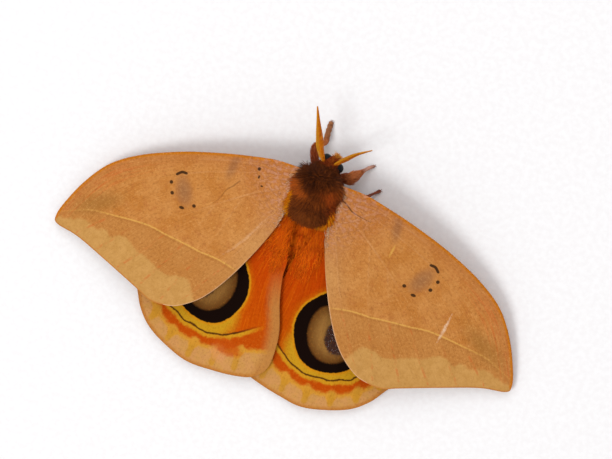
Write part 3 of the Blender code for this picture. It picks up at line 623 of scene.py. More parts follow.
def wing_mesh(wing):
    """A wing's membrane: a sheet over its plan, drawn out to two faces, with veins and pleats."""
    columns, rows = WING_GRIDS[wing.kind]
    bm = bmesh.new()
    bmesh.ops.create_grid(bm, x_segments=columns, y_segments=rows, size=0.5)
    under = bm.verts.layers.float.new("under")
    chart = bm.verts.layers.float_vector.new("chart")
    for vertex in bm.verts:
        vertex[under] = 1.0
        vertex[chart] = (vertex.co.x + 0.5, vertex.co.y + 0.5, 0.0)
    raised = bmesh.ops.extrude_face_region(bm, geom=list(bm.faces), use_keep_orig=True)
    upper = [part for part in raised["geom"] if isinstance(part, bmesh.types.BMVert)]
    for vertex in upper:
        vertex[under] = 0.0
        vertex.co.z = SHEET_GAP
    mesh = mesh_of(bm, wing.name)
    count = len(mesh.vertices)
    shares = np.empty(count * 3, np.float32)
    mesh.attributes["chart"].data.foreach_get("vector", shares)
    below = np.empty(count, np.float32)
    mesh.attributes["under"].data.foreach_get("value", below)
    u, v = shares.reshape(-1, 3)[:, :2].T.astype(float)
    plan = wing.plan_at(u, v)
    rim = np.abs(distance_to(plan, wing.rim))
    vein = wing.vein_distance(plan)
    edge = smoothstep(rim / WING_EDGE_TAPER)
    thickness = WING_EDGE_THICKNESS + (WING_THICKNESS - WING_EDGE_THICKNESS) * edge
    ridge = VEIN_RISE * np.clip(1.0 - vein / VEIN_HALF_WIDTH, 0.0, 1.0) ** VEIN_ROUNDING * edge
    pleat = PLEAT_DEPTH * (np.exp(-((vein / PLEAT_HALF_WIDTH) ** 2)) - PLEAT_LEVEL) * edge
    out = 1.0 - 2.0 * below
    places = wing.put(plan, out * (0.5 * thickness + ridge) + pleat)
    mesh.vertices.foreach_set("co", places.astype(np.float32).ravel())
    if wing.side < 0:
        mesh.flip_normals()
    costa, outer, inner, _ = wing.edges()
    note(mesh, "plan", np.column_stack([plan, np.zeros(count)]))
    note(mesh, "rim", rim)
    note(mesh, "vein", vein)
    note(mesh, "costa", np.abs(distance_to(plan, costa)))
    note(mesh, "outer", np.abs(distance_to(plan, outer)))
    note(mesh, "inner", np.abs(distance_to(plan, inner)))
    bake_map(mesh, u, v, below)
    return mesh, plan


def bake_map(mesh, u, v, below):
    """A map for baking: the upper face in its left half and the lower face in its right half."""
    corners = np.empty(len(mesh.loops), np.int32)
    mesh.loops.foreach_get("vertex_index", corners)
    across = 0.01 + 0.48 * u + 0.5 * below
    places = np.stack([across[corners], 0.02 + 0.96 * v[corners]], 1)
    mesh.uv_layers.new(name="OFBake").data.foreach_set("uv", places.astype(np.float32).ravel())


def scale_relief(finish, plan, chart, vein):
    """The fine relief that wing scales give, in rows across the wing, and its light and dark."""
    coarse = finish.noise(plan, 1.7, 3.0, 0.75)
    fine = finish.noise(plan, 5.0, 2.0, 0.6)
    streaks = finish.noise(finish.stretched(chart, (14.0, 150.0, 1.0)), 1.0, 2.0, 0.6)
    ridges = vein.step(0.45, 0.0)
    finish.bump(coarse * 0.5 + fine * 0.4 + streaks * 0.35 + ridges * 0.25, 0.14, 0.55)
    return (coarse - 0.5) * 1.9 + (fine - 0.5) * 1.0 + (streaks - 0.5) * 0.9


def grained(finish, colour, shade, dark, light):
    """Darker and lighter scales among those of one colour."""
    colour = finish.blend(colour, dark, shade.step(-0.1, 0.9) * 0.8)
    return finish.blend(colour, light, shade.step(0.0, -1.3) * 0.8)


def forewing_finish(name, bare_and_highlight, crease_shade_strength):
    """Tan scales with a pale line, an ochre border, a ring of dark dots and an orange costa."""
    finish = Finish(name + "_scales", 0.8, shine=0.05)
    plan = finish.attribute("plan", "Vector")
    chart = finish.attribute("chart", "Vector")
    vein, line, patch = (finish.attribute(name) for name in ("vein", "line", "patch"))
    costa, outer, inner = (finish.attribute(name) for name in ("costa", "outer", "inner"))
    marked = finish.attribute("marked")
    x, y, _ = spot = finish.parts(plan)
    u = finish.parts(chart)[0]
    shade = scale_relief(finish, plan, chart, vein)
    broad = finish.noise(plan, 0.17, 3.0, 0.55)
    mottle = finish.noise(plan, 1.3, 4.0, 0.7)
    ragged = (mottle - 0.5) * 1.3
    fibres = finish.noise(finish.stretched(chart, (5.0, 60.0, 1.0)), 1.0, 3.0, 0.6)

    # Ground
    colour = finish.blend((184, 116, 50), (196, 132, 68), broad.step(0.3, 0.7))
    blotch = finish.noise(plan, 0.55, 3.0, 0.65)
    colour = finish.blend(colour, (174, 104, 50), blotch.step(0.46, 0.34) * 0.45)
    colour = finish.blend(colour, (206, 144, 80), blotch.step(0.54, 0.68) * 0.4)
    colour = finish.blend(colour, (196, 144, 88), inner.step(6.5, 0.5) * u.step(0.9, 0.3) * 0.6)
    colour = finish.blend(colour, (182, 108, 58), u.step(0.42, 0.08) * 0.6)
    streaked = fibres.step(0.5, 0.6) * u.step(0.45, 0.8) * costa.step(7.0, 1.5)
    colour = finish.blend(colour, (204, 96, 38), streaked * 0.55)
    colour = finish.blend(colour, (176, 106, 54), costa.step(4.5, 1.0) * 0.4)
    beyond = (line + ragged * 0.4).step(0.3, -0.3)
    colour = finish.blend(colour, (180, 121, 60), beyond * 0.6)
    edge = (patch + ragged * 1.2).step(-0.5, 0.4)
    patch_colour = finish.blend((190, 142, 76), (200, 152, 86), blotch.step(0.35, 0.65))
    colour = finish.blend(colour, patch_colour, edge * 0.85)
    smudge = finish.oval(spot, APEX_SMUDGE).step(1.4, 0.2)
    colour = finish.blend(colour, (150, 104, 46), smudge * 0.6)
    costa_smudge = finish.oval(spot, COSTA_SMUDGE) + ragged * 0.4
    colour = finish.blend(colour, (148, 96, 60), costa_smudge.step(1.3, 0.2) * 0.7)
    broken = vein.step(0.4, 0.08) * fibres.step(0.42, 0.56)
    colour = finish.blend(colour, (194, 100, 44), broken * beyond * blotch.step(0.42, 0.58) * 0.6)
    pale_vein = vein.step(0.3, 0.05) * u.step(0.75, 0.3) * fibres.step(0.4, 0.6)
    colour = finish.blend(colour, (212, 160, 112), pale_vein * 0.25)

    # Marks
    fading = x.step(47.0, 36.0) * x.step(9.5, 14.0) * 0.65 + 0.2
    colour = finish.blend(colour, (160, 100, 46), (line + 0.45).within(0.2, 0.25) * fading * 0.45)
    colour = finish.blend(colour, (218, 166, 82), (line + ragged * 0.25).within(0.14, 0.16) * fading)
    oval = finish.oval(spot, DISCAL_OVAL) + ragged * 0.2
    colour = finish.blend(colour, (158, 104, 62), oval.step(1.3, 0.6) * 0.75)
    colour = finish.blend(colour, (140, 98, 66), oval.step(0.8, 0.1) * 0.4)
    colour = finish.blend(colour, (190, 110, 18), costa.step(0.75, 0.35) * 0.95)
    colour = finish.blend(colour, (188, 112, 44), outer.step(0.45, 0.1) * 0.6)
    hind_edge = inner.step(0.24, 0.06) * y.step(-12.0, -22.0)
    colour = finish.blend(colour, (228, 180, 140), hind_edge * 0.75)
    # A pale line of rubbed scales, with a painted highlight along a crease.
    bare = (finish.attribute("rubbed") + ragged * 0.8).step(0.5, 0.0)
    colour = finish.blend(colour, (232, 196, 162), bare * bare_and_highlight)
    # Painted shade: a dark line along the forewing's crease.
    crease = (finish.attribute("crease") + ragged * 0.1).step(0.24, 0.08)
    colour = finish.blend(colour, (50, 22, 12), crease * crease_shade_strength)
    mark = finish.oval(spot, YELLOW_MARK) + ragged * 0.3
    colour = finish.blend(colour, (218, 166, 78), mark.step(1.3, 0.4) * 0.65 * marked)

    # Crumpled scales near the base, with painted shade in their crinkles
    crumple = finish.noise(finish.stretched(plan, (0.8, 1.3, 1.0)), 1.2, 4.0, 0.6)
    colour = finish.blend(colour, (192, 146, 132), crumple.step(0.48, 0.6) * u.step(0.34, 0.06) * 0.5)
    # Painted shade: thin dark lines in the crinkles of the crumpled scales.
    crinkle_shade = (crumple - 0.5).within(0.02, 0.03) * u.step(0.38, 0.16) * blotch.step(0.42, 0.55)
    colour = finish.blend(colour, (116, 64, 42), crinkle_shade * 0.6)
    colour = grained(finish, colour, shade * (1.25 - edge * 0.55), (142, 90, 42), (228, 174, 106))
    dark = finish.attribute("bar").step(0.38, 0.2)
    for centre, radii in DISCAL_DOTS:
        dark = dark.high(finish.oval(spot, (centre, radii, 0.0)).step(1.15, 0.7))
    for centre, radii in ANTEMEDIAL_DOTS:
        dark = dark.high(finish.oval(spot, (centre, radii, 0.0)).step(1.2, 0.6) * (1.0 - marked))
    colour = finish.blend(colour, (22, 12, 9), dark * 0.88)

    # Underside
    pale = finish.blend((198, 132, 78), (178, 112, 66), broad.step(0.35, 0.65))
    pale = finish.blend(pale, (132, 76, 40), line.within(0.5, 0.4) * 0.7)
    spot_below = finish.oval(spot, SPOT_BELOW)
    pale = finish.blend(pale, (36, 22, 18), spot_below.step(1.1, 0.9))
    pale = finish.blend(pale, (225, 220, 215), spot_below.step(0.3, 0.2))
    pale = grained(finish, pale, shade, (140, 86, 44), (232, 178, 124))
    finish.set("Base Color", finish.blend(colour, pale, finish.attribute("under").step(0.4, 0.6)))
    return finish


def hindwing_finish(name, folded):
    """Orange scales with a black-ringed eyespot, a wavy line and a border of pale cells."""
    finish = Finish(name + "_scales", 0.8, shine=0.03)
    plan = finish.attribute("plan", "Vector")
    chart = finish.attribute("chart", "Vector")
    vein, ring, disc, line = (finish.attribute(name) for name in ("vein", "ring", "disc", "line"))
    band, outer, inner = (finish.attribute(name) for name in ("band", "outer", "inner"))
    x, y, _ = spot = finish.parts(plan)
    u = finish.parts(chart)[0]
    shade = scale_relief(finish, plan, chart, vein)
    mottle = finish.noise(plan, 1.1, 4.0, 0.65)
    ragged = mottle - 0.5
    rays = finish.noise(finish.stretched(chart, (3.0, 48.0, 1.0)), 1.0, 3.0, 0.65)

    colour = finish.blend((184, 62, 0), (188, 74, 0), u.step(0.35, 0.7))
    colour = finish.blend(colour, (208, 98, 4), rays.step(0.5, 0.72) * 0.8)
    colour = finish.blend(colour, (158, 46, 0), rays.step(0.47, 0.28) * 0.7)
    colour = finish.blend(colour, (168, 58, 2), u.step(0.22, 0.02) * 0.5)
    near_ring = (ring + ragged * 0.8).step(1.8, 0.3)
    colour = finish.blend(colour, (206, 116, 8), near_ring * 0.35)
    # The border, from the yellow inside the wavy line out
    low = (ring + line * 0.6 + ragged).step(3.7, 2.0) * line.step(4.8, 2.8)
    colour = finish.blend(colour, (194, 144, 26), low * x.step(-1.0, 4.5))
    colour = finish.blend(colour, (200, 142, 28), line.step(0.0, -0.25) * x.step(-2.0, 2.0))
    colour = finish.blend(colour, (184, 72, 3), (line + ragged * 1.2).step(-0.6, -1.3))
    rubbed = mottle.step(0.5, 0.72) * line.step(-0.6, -1.5)
    colour = finish.blend(colour, (204, 118, 34), rubbed * 0.38)
    cell = band + ragged * 1.6 - vein.step(1.5, 0.1) * 0.8
    colour = finish.blend(colour, (206, 148, 50), cell.step(0.5, -0.45) * 0.9)
    pale = (band + vein.step(1.4, 0.2) * 1.3 + ragged * 1.1).step(-0.4, -1.3)
    colour = finish.blend(colour, (196, 144, 80), pale * 0.9)
    warm = finish.noise(plan, 0.42, 2.0).step(0.4, 0.62)
    colour = finish.blend(colour, (202, 144, 88), pale * warm * 0.6)
    along_vein = (vein + ragged * 0.5).step(0.9, 0.4) * outer.step(4.8, 3.0)
    colour = finish.blend(colour, (192, 136, 40), along_vein * 0.8)
    colour = finish.blend(colour, (180, 112, 42), (outer + ragged).step(1.1, 0.2) * 0.8)
    if folded:
        warm_cell = finish.oval(spot, WARM_CELL) + ragged * 1.2
        colour = finish.blend(colour, (214, 146, 96), warm_cell.step(1.2, 0.3) * 0.6)
        broad_band = finish.oval(spot, BROAD_BAND) + ragged * 0.9
        colour = finish.blend(colour, (186, 76, 10), broad_band.step(1.2, 0.6) * 0.8)
    fold = (inner + ragged * 1.4).step(FOLD_WIDTHS[folded], 1.0) * y.step(*FOLD_STARTS[folded])
    colour = finish.blend(colour, (182, 124, 62), fold * 0.9)
    dark_line = (line + ragged * 0.6).within(0.19, 0.14) * x.step(-1.5, 4.0)
    colour = finish.blend(colour, (64, 30, 10), dark_line * 0.95)

    # The eyespot
    colour = finish.blend(colour, (204, 136, 18), (ring + ragged * 0.7).step(0.65, 0.15))
    colour = finish.blend(colour, (6, 5, 4), (ring + ragged * 0.5).step(0.1, -0.14))
    olive = finish.blend((149, 107, 53), (98, 62, 24), disc.step(-3.4, -0.2))
    colour = finish.blend(colour, olive, (disc + ragged * 0.3).step(0.1, -0.6))
    pupil = finish.attribute("pupil") + ragged * 0.4
    colour = finish.blend(colour, (54, 38, 34), pupil.step(1.08, 0.85))
    flecks = finish.cells(plan, 3.4).step(0.26, 0.1) * pupil.step(1.02, 0.6)
    colour = finish.blend(colour, (196, 188, 194), flecks * 0.85)
    plain = 1.0 - ring.step(0.1, -0.1) * disc.step(-0.1, 0.1)
    shade = shade * plain
    colour = grained(finish, colour, shade * 0.8, (124, 48, 2), (236, 142, 44))

    # Underside
    pale = finish.blend((206, 130, 70), (186, 110, 56), rays.step(0.35, 0.65))
    pale = finish.blend(pale, (140, 74, 36), line.within(0.45, 0.35) * 0.7)
    pale = finish.blend(pale, (232, 224, 214), finish.oval(spot, DOT_BELOW).step(1.2, 0.8))
    pale = grained(finish, pale, shade, (140, 80, 40), (232, 170, 112))
    finish.set("Base Color", finish.blend(colour, pale, finish.attribute("under").step(0.4, 0.6)))
    return finish


def mark_forewing(wing, mesh, plan):
    """Keeps on a forewing where its marks run, and gives its finish."""
    note(mesh, "line", distance_to(plan, smooth_line(POSTMEDIAL_LINE)))
    note(mesh, "patch", -distance_to(plan, smooth_line(SUBMARGINAL_EDGE)))
    note(mesh, "bar", np.abs(distance_to(plan, smooth_line(DISCAL_BAR))))
    points, bare_and_highlight = RUBBED_AND_LIT_LINES[wing.name]
    middle = np.mean(points, axis=0)
    reach = 0.5 * np.linalg.norm(np.subtract(points[-1], points[0]))
    fade = 0.4 * (np.linalg.norm(plan - middle, axis=1) / reach) ** 2
    note(mesh, "rubbed", np.abs(distance_to(plan, smooth_line(points))) + fade)
    note(mesh, "marked", np.full(len(plan), float(wing.side > 0.0)))
    points, crease_shade_strength = CREASES[wing.name]
    thinning = 0.012 * np.linalg.norm(plan - points[0], axis=1)
    note(mesh, "crease", np.abs(distance_to(plan, smooth_line(points))) + thinning)
    return forewing_finish(wing.name, bare_and_highlight, crease_shade_strength)


def mark_hindwing(wing, mesh, plan):
    """Keeps on a hindwing where its marks run, and gives its finish."""
    left = wing.side < 0.0
    spot = plan - np.array(LEFT_EYESPOT_SHIFT) * left
    lower = plan - np.array(LEFT_LINE_SHIFT) * left
    note(mesh, "ring", -distance_to(spot, closed_line(RING)))
    note(mesh, "disc", -distance_to(spot, closed_line(DISC)))
    note(mesh, "pupil", np.linalg.norm((spot - PUPIL[0]) / PUPIL[1], axis=1))
    note(mesh, "line", distance_to(lower, smooth_line(WAVY_LINE)))
    note(mesh, "band", distance_to(lower, smooth_line(BAND_EDGE)))
    return hindwing_finish(wing.name, left)


def wings():
    """The four wings with their marks."""
    made = []
    for side in ("left", "right"):
        for kind, mark in (("forewing", mark_forewing), ("hindwing", mark_hindwing)):
            wing = Wing(kind, side)
            mesh, plan = wing_mesh(wing)
            settle(wing.name + "_membrane", mesh, mark(wing, mesh, plan), [wing.name])
            made.append(wing)
    return made


def ball(cuts):
    """A unit ball blown up from a cube."""
    bm = bmesh.new()
    bmesh.ops.create_cube(bm, size=2.0)
    bmesh.ops.subdivide_edges(bm, edges=bm.edges, cuts=cuts, use_grid_fill=True)
    for vertex in bm.verts:
        vertex.co.normalize()
    return bm


def body_form(form, turn=0.0):
    """A rounded body with a centre, radii and a power that squares it."""
    centre, radii, power = form
    bm = ball(FORM_CUTS)
    spin = Matrix.Rotation(turn, 3, "Z")
    for vertex in bm.verts:
        fullness = sum(abs(part) ** power for part in vertex.co) ** (-1.0 / power)
        stretched = Vector(part * fullness * radius for part, radius in zip(vertex.co, radii))
        vertex.co = spin @ stretched + Vector(centre)
    return mesh_of(bm, "form")


def abdomen_form():
    """The abdomen drawn through its stations, drawn in between its rings."""
    bm = ball(ABDOMEN_CUTS)
    stations = np.array(ABDOMEN_STATIONS)[::-1]
    back, front = stations[0, 0], stations[-1, 0]
    for vertex in bm.verts:
        way = vertex.co.copy()
        y = 0.5 * (front + back) + 0.5 * (front - back) * way.y
        half_width, top, bottom = (np.interp(y, stations[:, 0], stations[:, k]) for k in (1, 2, 3))
        ring = math.hypot(way.x, way.z)
        fullness = (1.0 - abs(way.y) ** 5.0) ** 0.4 / max(ring, 1e-6)
        crease = 0.5 + 0.5 * math.cos(math.tau * y / ABDOMEN_RING_STEP)
        waist = 1.0 - ABDOMEN_RING_DEPTH / half_width * crease ** 4
        x = way.x * fullness * half_width * waist
        z = 0.5 * (top + bottom) + way.z * fullness * 0.5 * (top - bottom) * waist
        vertex.co = (x, y, z)
    return mesh_of(bm, "form")


def body_skin():
    """One skin over thorax, neck, head and abdomen, with no seam between them."""
    forms = [body_form(THORAX), body_form(NECK), body_form(HEAD, HEAD_TURN), abdomen_form()]
    bm = bmesh.new()
    for form in forms:
        bm.from_mesh(form)
        bpy.data.meshes.remove(form)
    rough = linked("rough_skin", mesh_of(bm, "rough_skin"))
    fuse = rough.modifiers.new("fuse", "REMESH")
    fuse.mode = "VOXEL"
    fuse.voxel_size = SKIN_VOXEL
    graph = bpy.context.evaluated_depsgraph_get()
    mesh = bpy.data.meshes.new_from_object(rough.evaluated_get(graph))
    bpy.data.objects.remove(rough, do_unlink=True)
    bm = bmesh.new()
    bm.from_mesh(mesh)
    for _ in range(3):
        bmesh.ops.smooth_vert(
            bm, verts=bm.verts, factor=0.5, use_axis_x=True, use_axis_y=True, use_axis_z=True,
        )
    return mesh_of(bm, "skin")


def body_colour(finish, place, tint):
    """The body's colours by place: dark brown thorax, red-brown head, orange abdomen."""
    x, y, z = finish.parts(place)
    broad = finish.noise(place, 0.5, 2.0, 0.5)
    loose = (broad - 0.5) * 2.4
    across = abs(x)
    colour = finish.blend((142, 68, 16), (84, 36, 8), broad.step(0.4, 0.62))
    # A rusty left shoulder and right flank, a paler back, a dark front and golden sides
    out, ahead = x + 2.6, y - 1.6
    shoulder = (out * out * 0.45 + ahead * ahead * 0.8 + loose).step(2.0, 0.4)
    colour = finish.blend(colour, (204, 100, 28), shoulder * 0.85)
    flank = (x - 2.5 + (y * 0.3) + loose * 0.3).within(0.5, 0.6) * y.step(3.4, 2.2) * y.step(-3.6, -2.2)
    colour = finish.blend(colour, (184, 78, 18), flank * 0.85)
    colour = finish.blend(colour, (142, 72, 20), across.step(3.0, 0.8) * y.step(-0.6, -2.6) * 0.7)
    colour = finish.blend(colour, (58, 25, 8), y.step(2.6, 4.0) * across.step(4.2, 3.2) * 0.75)
    colour = finish.blend(colour, (26, 12, 5), tint.step(0.4, 0.0) * 0.5)
    colour = finish.blend(colour, (190, 98, 34), tint.step(0.6, 1.0) * 0.3)
    side = across.step(2.9, 3.5) * y.step(1.4, -0.8)
    colour = finish.blend(colour, (222, 124, 8), side * tint.step(0.2, 0.6) * 0.9)
    # The head, with a paler face, a tuft at its front and a pale line between the feelers
    head = finish.blend((92, 30, 8), (160, 66, 16), tint)
    colour = finish.blend(colour, head, y.step(5.8, 6.4))
    colour = finish.blend(colour, (222, 146, 48), (y + x * 0.36).step(8.9, 9.2) * z.step(7.3, 6.8))
    off_x, off_y = x - HEAD_TUFT[0], y - HEAD_TUFT[1]
    tuft = off_x * off_x + off_y * off_y
    colour = finish.blend(colour, (226, 150, 52), tuft.step(0.22, 0.06))
    between = (x - 0.75 - (y - 7.4) * 0.36).within(0.1, 0.12) * y.step(6.6, 7.2) * y.step(8.5, 8.2)
    colour = finish.blend(colour, (206, 112, 34), between * 0.8)
    # The abdomen, with paler hind edges of its rings
    warm = finish.blend((246, 120, 4), (216, 82, 0), broad.step(0.4, 0.6))
    ringed = (y * (math.tau / ABDOMEN_RING_STEP)).sine().step(0.3, 0.95)
    warm = finish.blend(warm, (226, 130, 34), ringed * y.step(-9.0, -13.0) * 0.6)
    warm = finish.blend(warm, (206, 156, 98), z.step(3.6, 2.2) * 0.7)
    colour = finish.blend(colour, warm, (y + loose * 0.5).step(-4.4, -5.6))
    belly = z.step(5.4, 3.2) * y.step(-7.0, -5.0)
    return finish.blend(colour, (140, 80, 38), belly * 0.6)


# The colour of the painted shade at the hairs' roots.
ROOT_SHADE_COLOUR = (18, 9, 5)


def fur_finish(name, colour_of, root_shade=0.5):
    """A coat of hairs, each with its own tint, with painted shade that darkens them towards the root, less
    so on the abdomen.
    """
    finish = Finish(name, 0.6, shine=0.1)
    place = finish.attribute("root", "Vector")
    tint = finish.attribute("tint")
    along = finish.attribute("along")
    colour = colour_of(finish, place, tint)
    # Painted shade at the hairs' roots, with less of it on the abdomen.
    abdomen_less_shade = finish.parts(place)[1].step(-4.0, -6.0) * 0.7
    shaded = along.step(0.45, 0.0) * root_shade * (1.0 - abdomen_less_shade)
    finish.set("Base Color", finish.blend(colour, ROOT_SHADE_COLOUR, shaded))
    return finish


def sample(mesh, count, chance, weigh):
    """Random points on a mesh, with its normals there. The weight says how thickly they stand."""
    mesh.calc_loop_triangles()
    corners = np.empty(len(mesh.loop_triangles) * 3, np.int32)
    mesh.loop_triangles.foreach_get("vertices", corners)
    triangles = coordinates(mesh)[corners.reshape(-1, 3)]
    normals = np.cross(triangles[:, 1] - triangles[:, 0], triangles[:, 2] - triangles[:, 0])
    areas = np.linalg.norm(normals, axis=1)
    weights = areas * weigh(triangles.mean(1))
    chosen = chance.choice(len(areas), count, p=weights / weights.sum())
    shares = np.sort(chance.random((count, 2)), axis=1)
    shares = np.column_stack([shares[:, 0], shares[:, 1] - shares[:, 0], 1.0 - shares[:, 1]])
    roots = (triangles[chosen] * shares[:, :, None]).sum(1)
    return roots, normals[chosen] / np.maximum(areas[chosen], 1e-12)[:, None]


def unit(vectors):
    return vectors / np.maximum(np.linalg.norm(vectors, axis=1), 1e-9)[:, None]


# A tuft's three rings: how far along it they are and how wide. Its root is sunk into the skin.
HAIR_RINGS = (0.0, 0.38, 0.74)
HAIR_WIDTHS = (0.8, 1.0, 0.62)
HAIR_SINK = 0.25
# Each tuft's own patch of the map for baking is this share of it.
BAKE_PATCH = 0.003


def hairs(name, roots, normals, lies, lengths, widths, lifts, chance, chart):
    """Many tapered tufts as one mesh. Each rises from its root, then bends over along its lie."""
    count = len(roots)
    lies = unit(lies - normals * np.sum(lies * normals, axis=1)[:, None])
    sides = np.cross(lies, normals)
    sway = chance.normal(0.0, 0.12, count)
    points = []
    alongs = []
    for share, width in zip((*HAIR_RINGS, 1.0), (*HAIR_WIDTHS, 0.0)):
        rise = lifts * (share - 0.55 * share ** 2) * 2.0
        centre = roots + lies * (lengths * share)[:, None] + normals * (lengths * rise)[:, None]
        centre += sides * (lengths * sway * share ** 2)[:, None]
        if share == 0.0:
            centre -= normals * HAIR_SINK
        half = (0.5 * widths * width)[:, None]
        if share == 1.0:
            points.append(centre)
            alongs.append(np.ones(count))
            continue
        points.extend([centre - sides * half, centre + sides * half, centre + normals * half * 0.8])
        alongs.extend([np.full(count, share)] * 3)
    per_hair = len(points)
    places = np.stack(points, 1).reshape(-1, 3)
    faces = [(0, 1, 2)]
    for ring in range(len(HAIR_RINGS) - 1):
        low, high = 3 * ring, 3 * ring + 3
        for k in range(3):
            faces.append((low + k, high + k, high + (k + 1) % 3))
            faces.append((low + k, high + (k + 1) % 3, low + (k + 1) % 3))
    last = 3 * (len(HAIR_RINGS) - 1)
    faces.extend((last + k, per_hair - 1, last + (k + 1) % 3) for k in range(3))
    triangles = (np.array(faces)[None] + per_hair * np.arange(count)[:, None, None]).reshape(-1, 3)
    first = places[triangles[:len(faces)]]
    spin = np.einsum("ij,ij->i", np.cross(first[:, 0], first[:, 1]), first[:, 2]).sum()
    if spin < 0.0:
        triangles = triangles[:, ::-1]
    mesh = bpy.data.meshes.new(name)
    mesh.vertices.add(len(places))
    mesh.vertices.foreach_set("co", places.astype(np.float32).ravel())
    mesh.loops.add(triangles.size)
    mesh.loops.foreach_set("vertex_index", triangles.astype(np.int32).ravel())
    mesh.polygons.add(len(triangles))
    mesh.polygons.foreach_set("loop_start", np.arange(0, triangles.size, 3, dtype=np.int32))
    mesh.update(calc_edges=True)
    note(mesh, "root", np.repeat(roots, per_hair, axis=0))
    note(mesh, "tint", np.repeat(chance.random(count), per_hair))
    along = np.stack(alongs, 1).ravel()
    note(mesh, "along", along)
    corner = (np.arange(per_hair) % 3) / 2.0
    patch = np.stack([np.tile(corner, count), along], 1) * BAKE_PATCH
    flat = np.repeat(chart, per_hair, axis=0) * (1.0 - 2.0 * BAKE_PATCH) + patch
    layer = mesh.uv_layers.new(name="OFBake")
    layer.data.foreach_set("uv", flat[triangles.ravel()].astype(np.float32).ravel())
    return mesh


def round_body(roots):
    """Unwraps the body: how far round it and how far along it each root is."""
    angle = np.arctan2(roots[:, 0], COAT_AXIS_HEIGHT - roots[:, 2]) / math.tau + 0.5
    return np.column_stack([angle, (roots[:, 1] - COAT_ENDS[0]) / (COAT_ENDS[1] - COAT_ENDS[0])])


def thorax_coats(skin, finish, chance):
    """Three shaggy layers. Hairs point back, forward at the front, and out at the sides and shoulders."""
    def weigh(places):
        here = (places[:, 1] > -5.9) & (places[:, 1] < 5.6)
        return here * (0.3 + 0.7 * (places[:, 2] > 8.0))

    for part in ("upper", "deep", "loose"):
        roots, normals = sample(skin, THORAX_TUFTS, chance, weigh)
        x, y, z = roots.T
        forward = smoothstep((y - 2.6) / 2.6)
        outward = smoothstep((np.abs(x) - 0.6) / 2.2) * (z > 9.0)
        shoulder = smoothstep((np.abs(x) - 1.4) / 1.6) * smoothstep((y - 0.6) / 2.4) * (z > 8.6)
        lies = np.column_stack([
            np.sign(x) * (1.2 * outward + 1.3 * shoulder), 1.8 * forward - 1.0, np.zeros(len(roots)),
        ])
        lies[:, 2] -= 0.8 * (z < 7.0)
        lies += chance.normal(0.0, 0.32, lies.shape)
        # The room that a tuft has before the coat's end is as long as it may be.
        ahead = np.interp(x, *COAT_FRONT) - y + 0.4
        behind = y - COAT_BACK + chance.normal(0.0, 0.35, len(roots))
        room = np.where(y > 3.6, ahead, behind)
        steep = (1.0 - np.abs(2.0 * forward - 1.0)) * (1.0 - shoulder)
        lengths = np.clip(room, *THORAX_TUFT) * chance.uniform(0.7, 1.1, len(roots))
        lengths *= 1.0 - 0.35 * steep
        lifts = (0.35 + 0.5 * steep + 0.5 * shoulder) * chance.uniform(0.6, 1.25, len(roots))
        at_wing = (np.abs(x) > 2.6) & (z < 9.9) & (z > 8.2) & (y < 4.0)
        lengths[at_wing] *= 0.45
        lifts[at_wing] *= 0.4
        widths = chance.uniform(0.1, 0.17, len(roots))
        name = "thorax_coat_" + part
        mesh = hairs(name, roots, normals, lies, lengths, widths, lifts, chance, round_body(roots))
        settle(name, mesh, finish)


def abdomen_coat(skin, finish, chance):
    """Sleek hairs that lie straight back."""
    def weigh(places):
        return (places[:, 1] < -4.6) * (0.4 + 0.6 * (places[:, 2] > 4.0))

    roots, normals = sample(skin, ABDOMEN_TUFTS, chance, weigh)
    count = len(roots)
    lies = np.column_stack([
        0.05 * roots[:, 0] + chance.normal(0.0, 0.12, count),
        -np.ones(count),
        chance.normal(0.0, 0.08, count),
    ])
    top_front = (roots[:, 2] > 5.0) & (roots[:, 1] > -15.0)
    lengths = chance.uniform(1.5, 2.5, count) * np.where(top_front, 1.2, 1.0)
    lifts = chance.uniform(0.06, 0.15, count)
    widths = chance.uniform(0.12, 0.2, count)
    mesh = hairs("abdomen_coat", roots, normals, lies, lengths, widths, lifts, chance, round_body(roots))
    settle("abdomen_coat", mesh, finish)


def head_coat(skin, finish, chance):
    """Short hairs that point forward, clear of the eyes and of the feelers' roots, with a longer tuft."""
    shafts = [smooth_line(points, 8)[:9] for points in ANTENNA_SHAFTS.values()]
    eye_places = [np.array(eye) for eye in eye_centres()]
    clear = [(eye, EYE_RADIUS + 0.1) for eye in eye_places]
    clear += [(point, 0.5) for shaft in shafts for point in shaft]

    def weigh(places):
        free = np.all([np.linalg.norm(places - spot, axis=1) > reach for spot, reach in clear], axis=0)
        return (places[:, 1] > 5.5) * free

    roots, normals = sample(skin, HEAD_TUFTS, chance, weigh)
    forward = np.array([math.sin(-HEAD_TURN), math.cos(HEAD_TURN), 0.0])
    lies = forward + chance.normal(0.0, 0.45, (len(roots), 3)) + [0.0, 0.0, -0.25]
    from_eye = np.min([np.linalg.norm(roots - eye, axis=1) for eye in eye_places], axis=0)
    near_eye = 1.0 - smoothstep((from_eye - EYE_RADIUS - 0.1) / 0.9)
    lengths = chance.uniform(0.4, 1.1, len(roots)) * (1.0 - 0.75 * near_eye)
    lifts = chance.uniform(0.3, 0.9, len(roots)) * (1.0 - 0.5 * near_eye)
    lengths[np.linalg.norm(roots[:, :2] - HEAD_TUFT, axis=1) < 0.4] *= 1.4
    widths = chance.uniform(0.08, 0.15, len(roots))
    mesh = hairs("head_coat", roots, normals, lies, lengths, widths, lifts, chance, round_body(roots))
    settle("head_coat", mesh, finish)


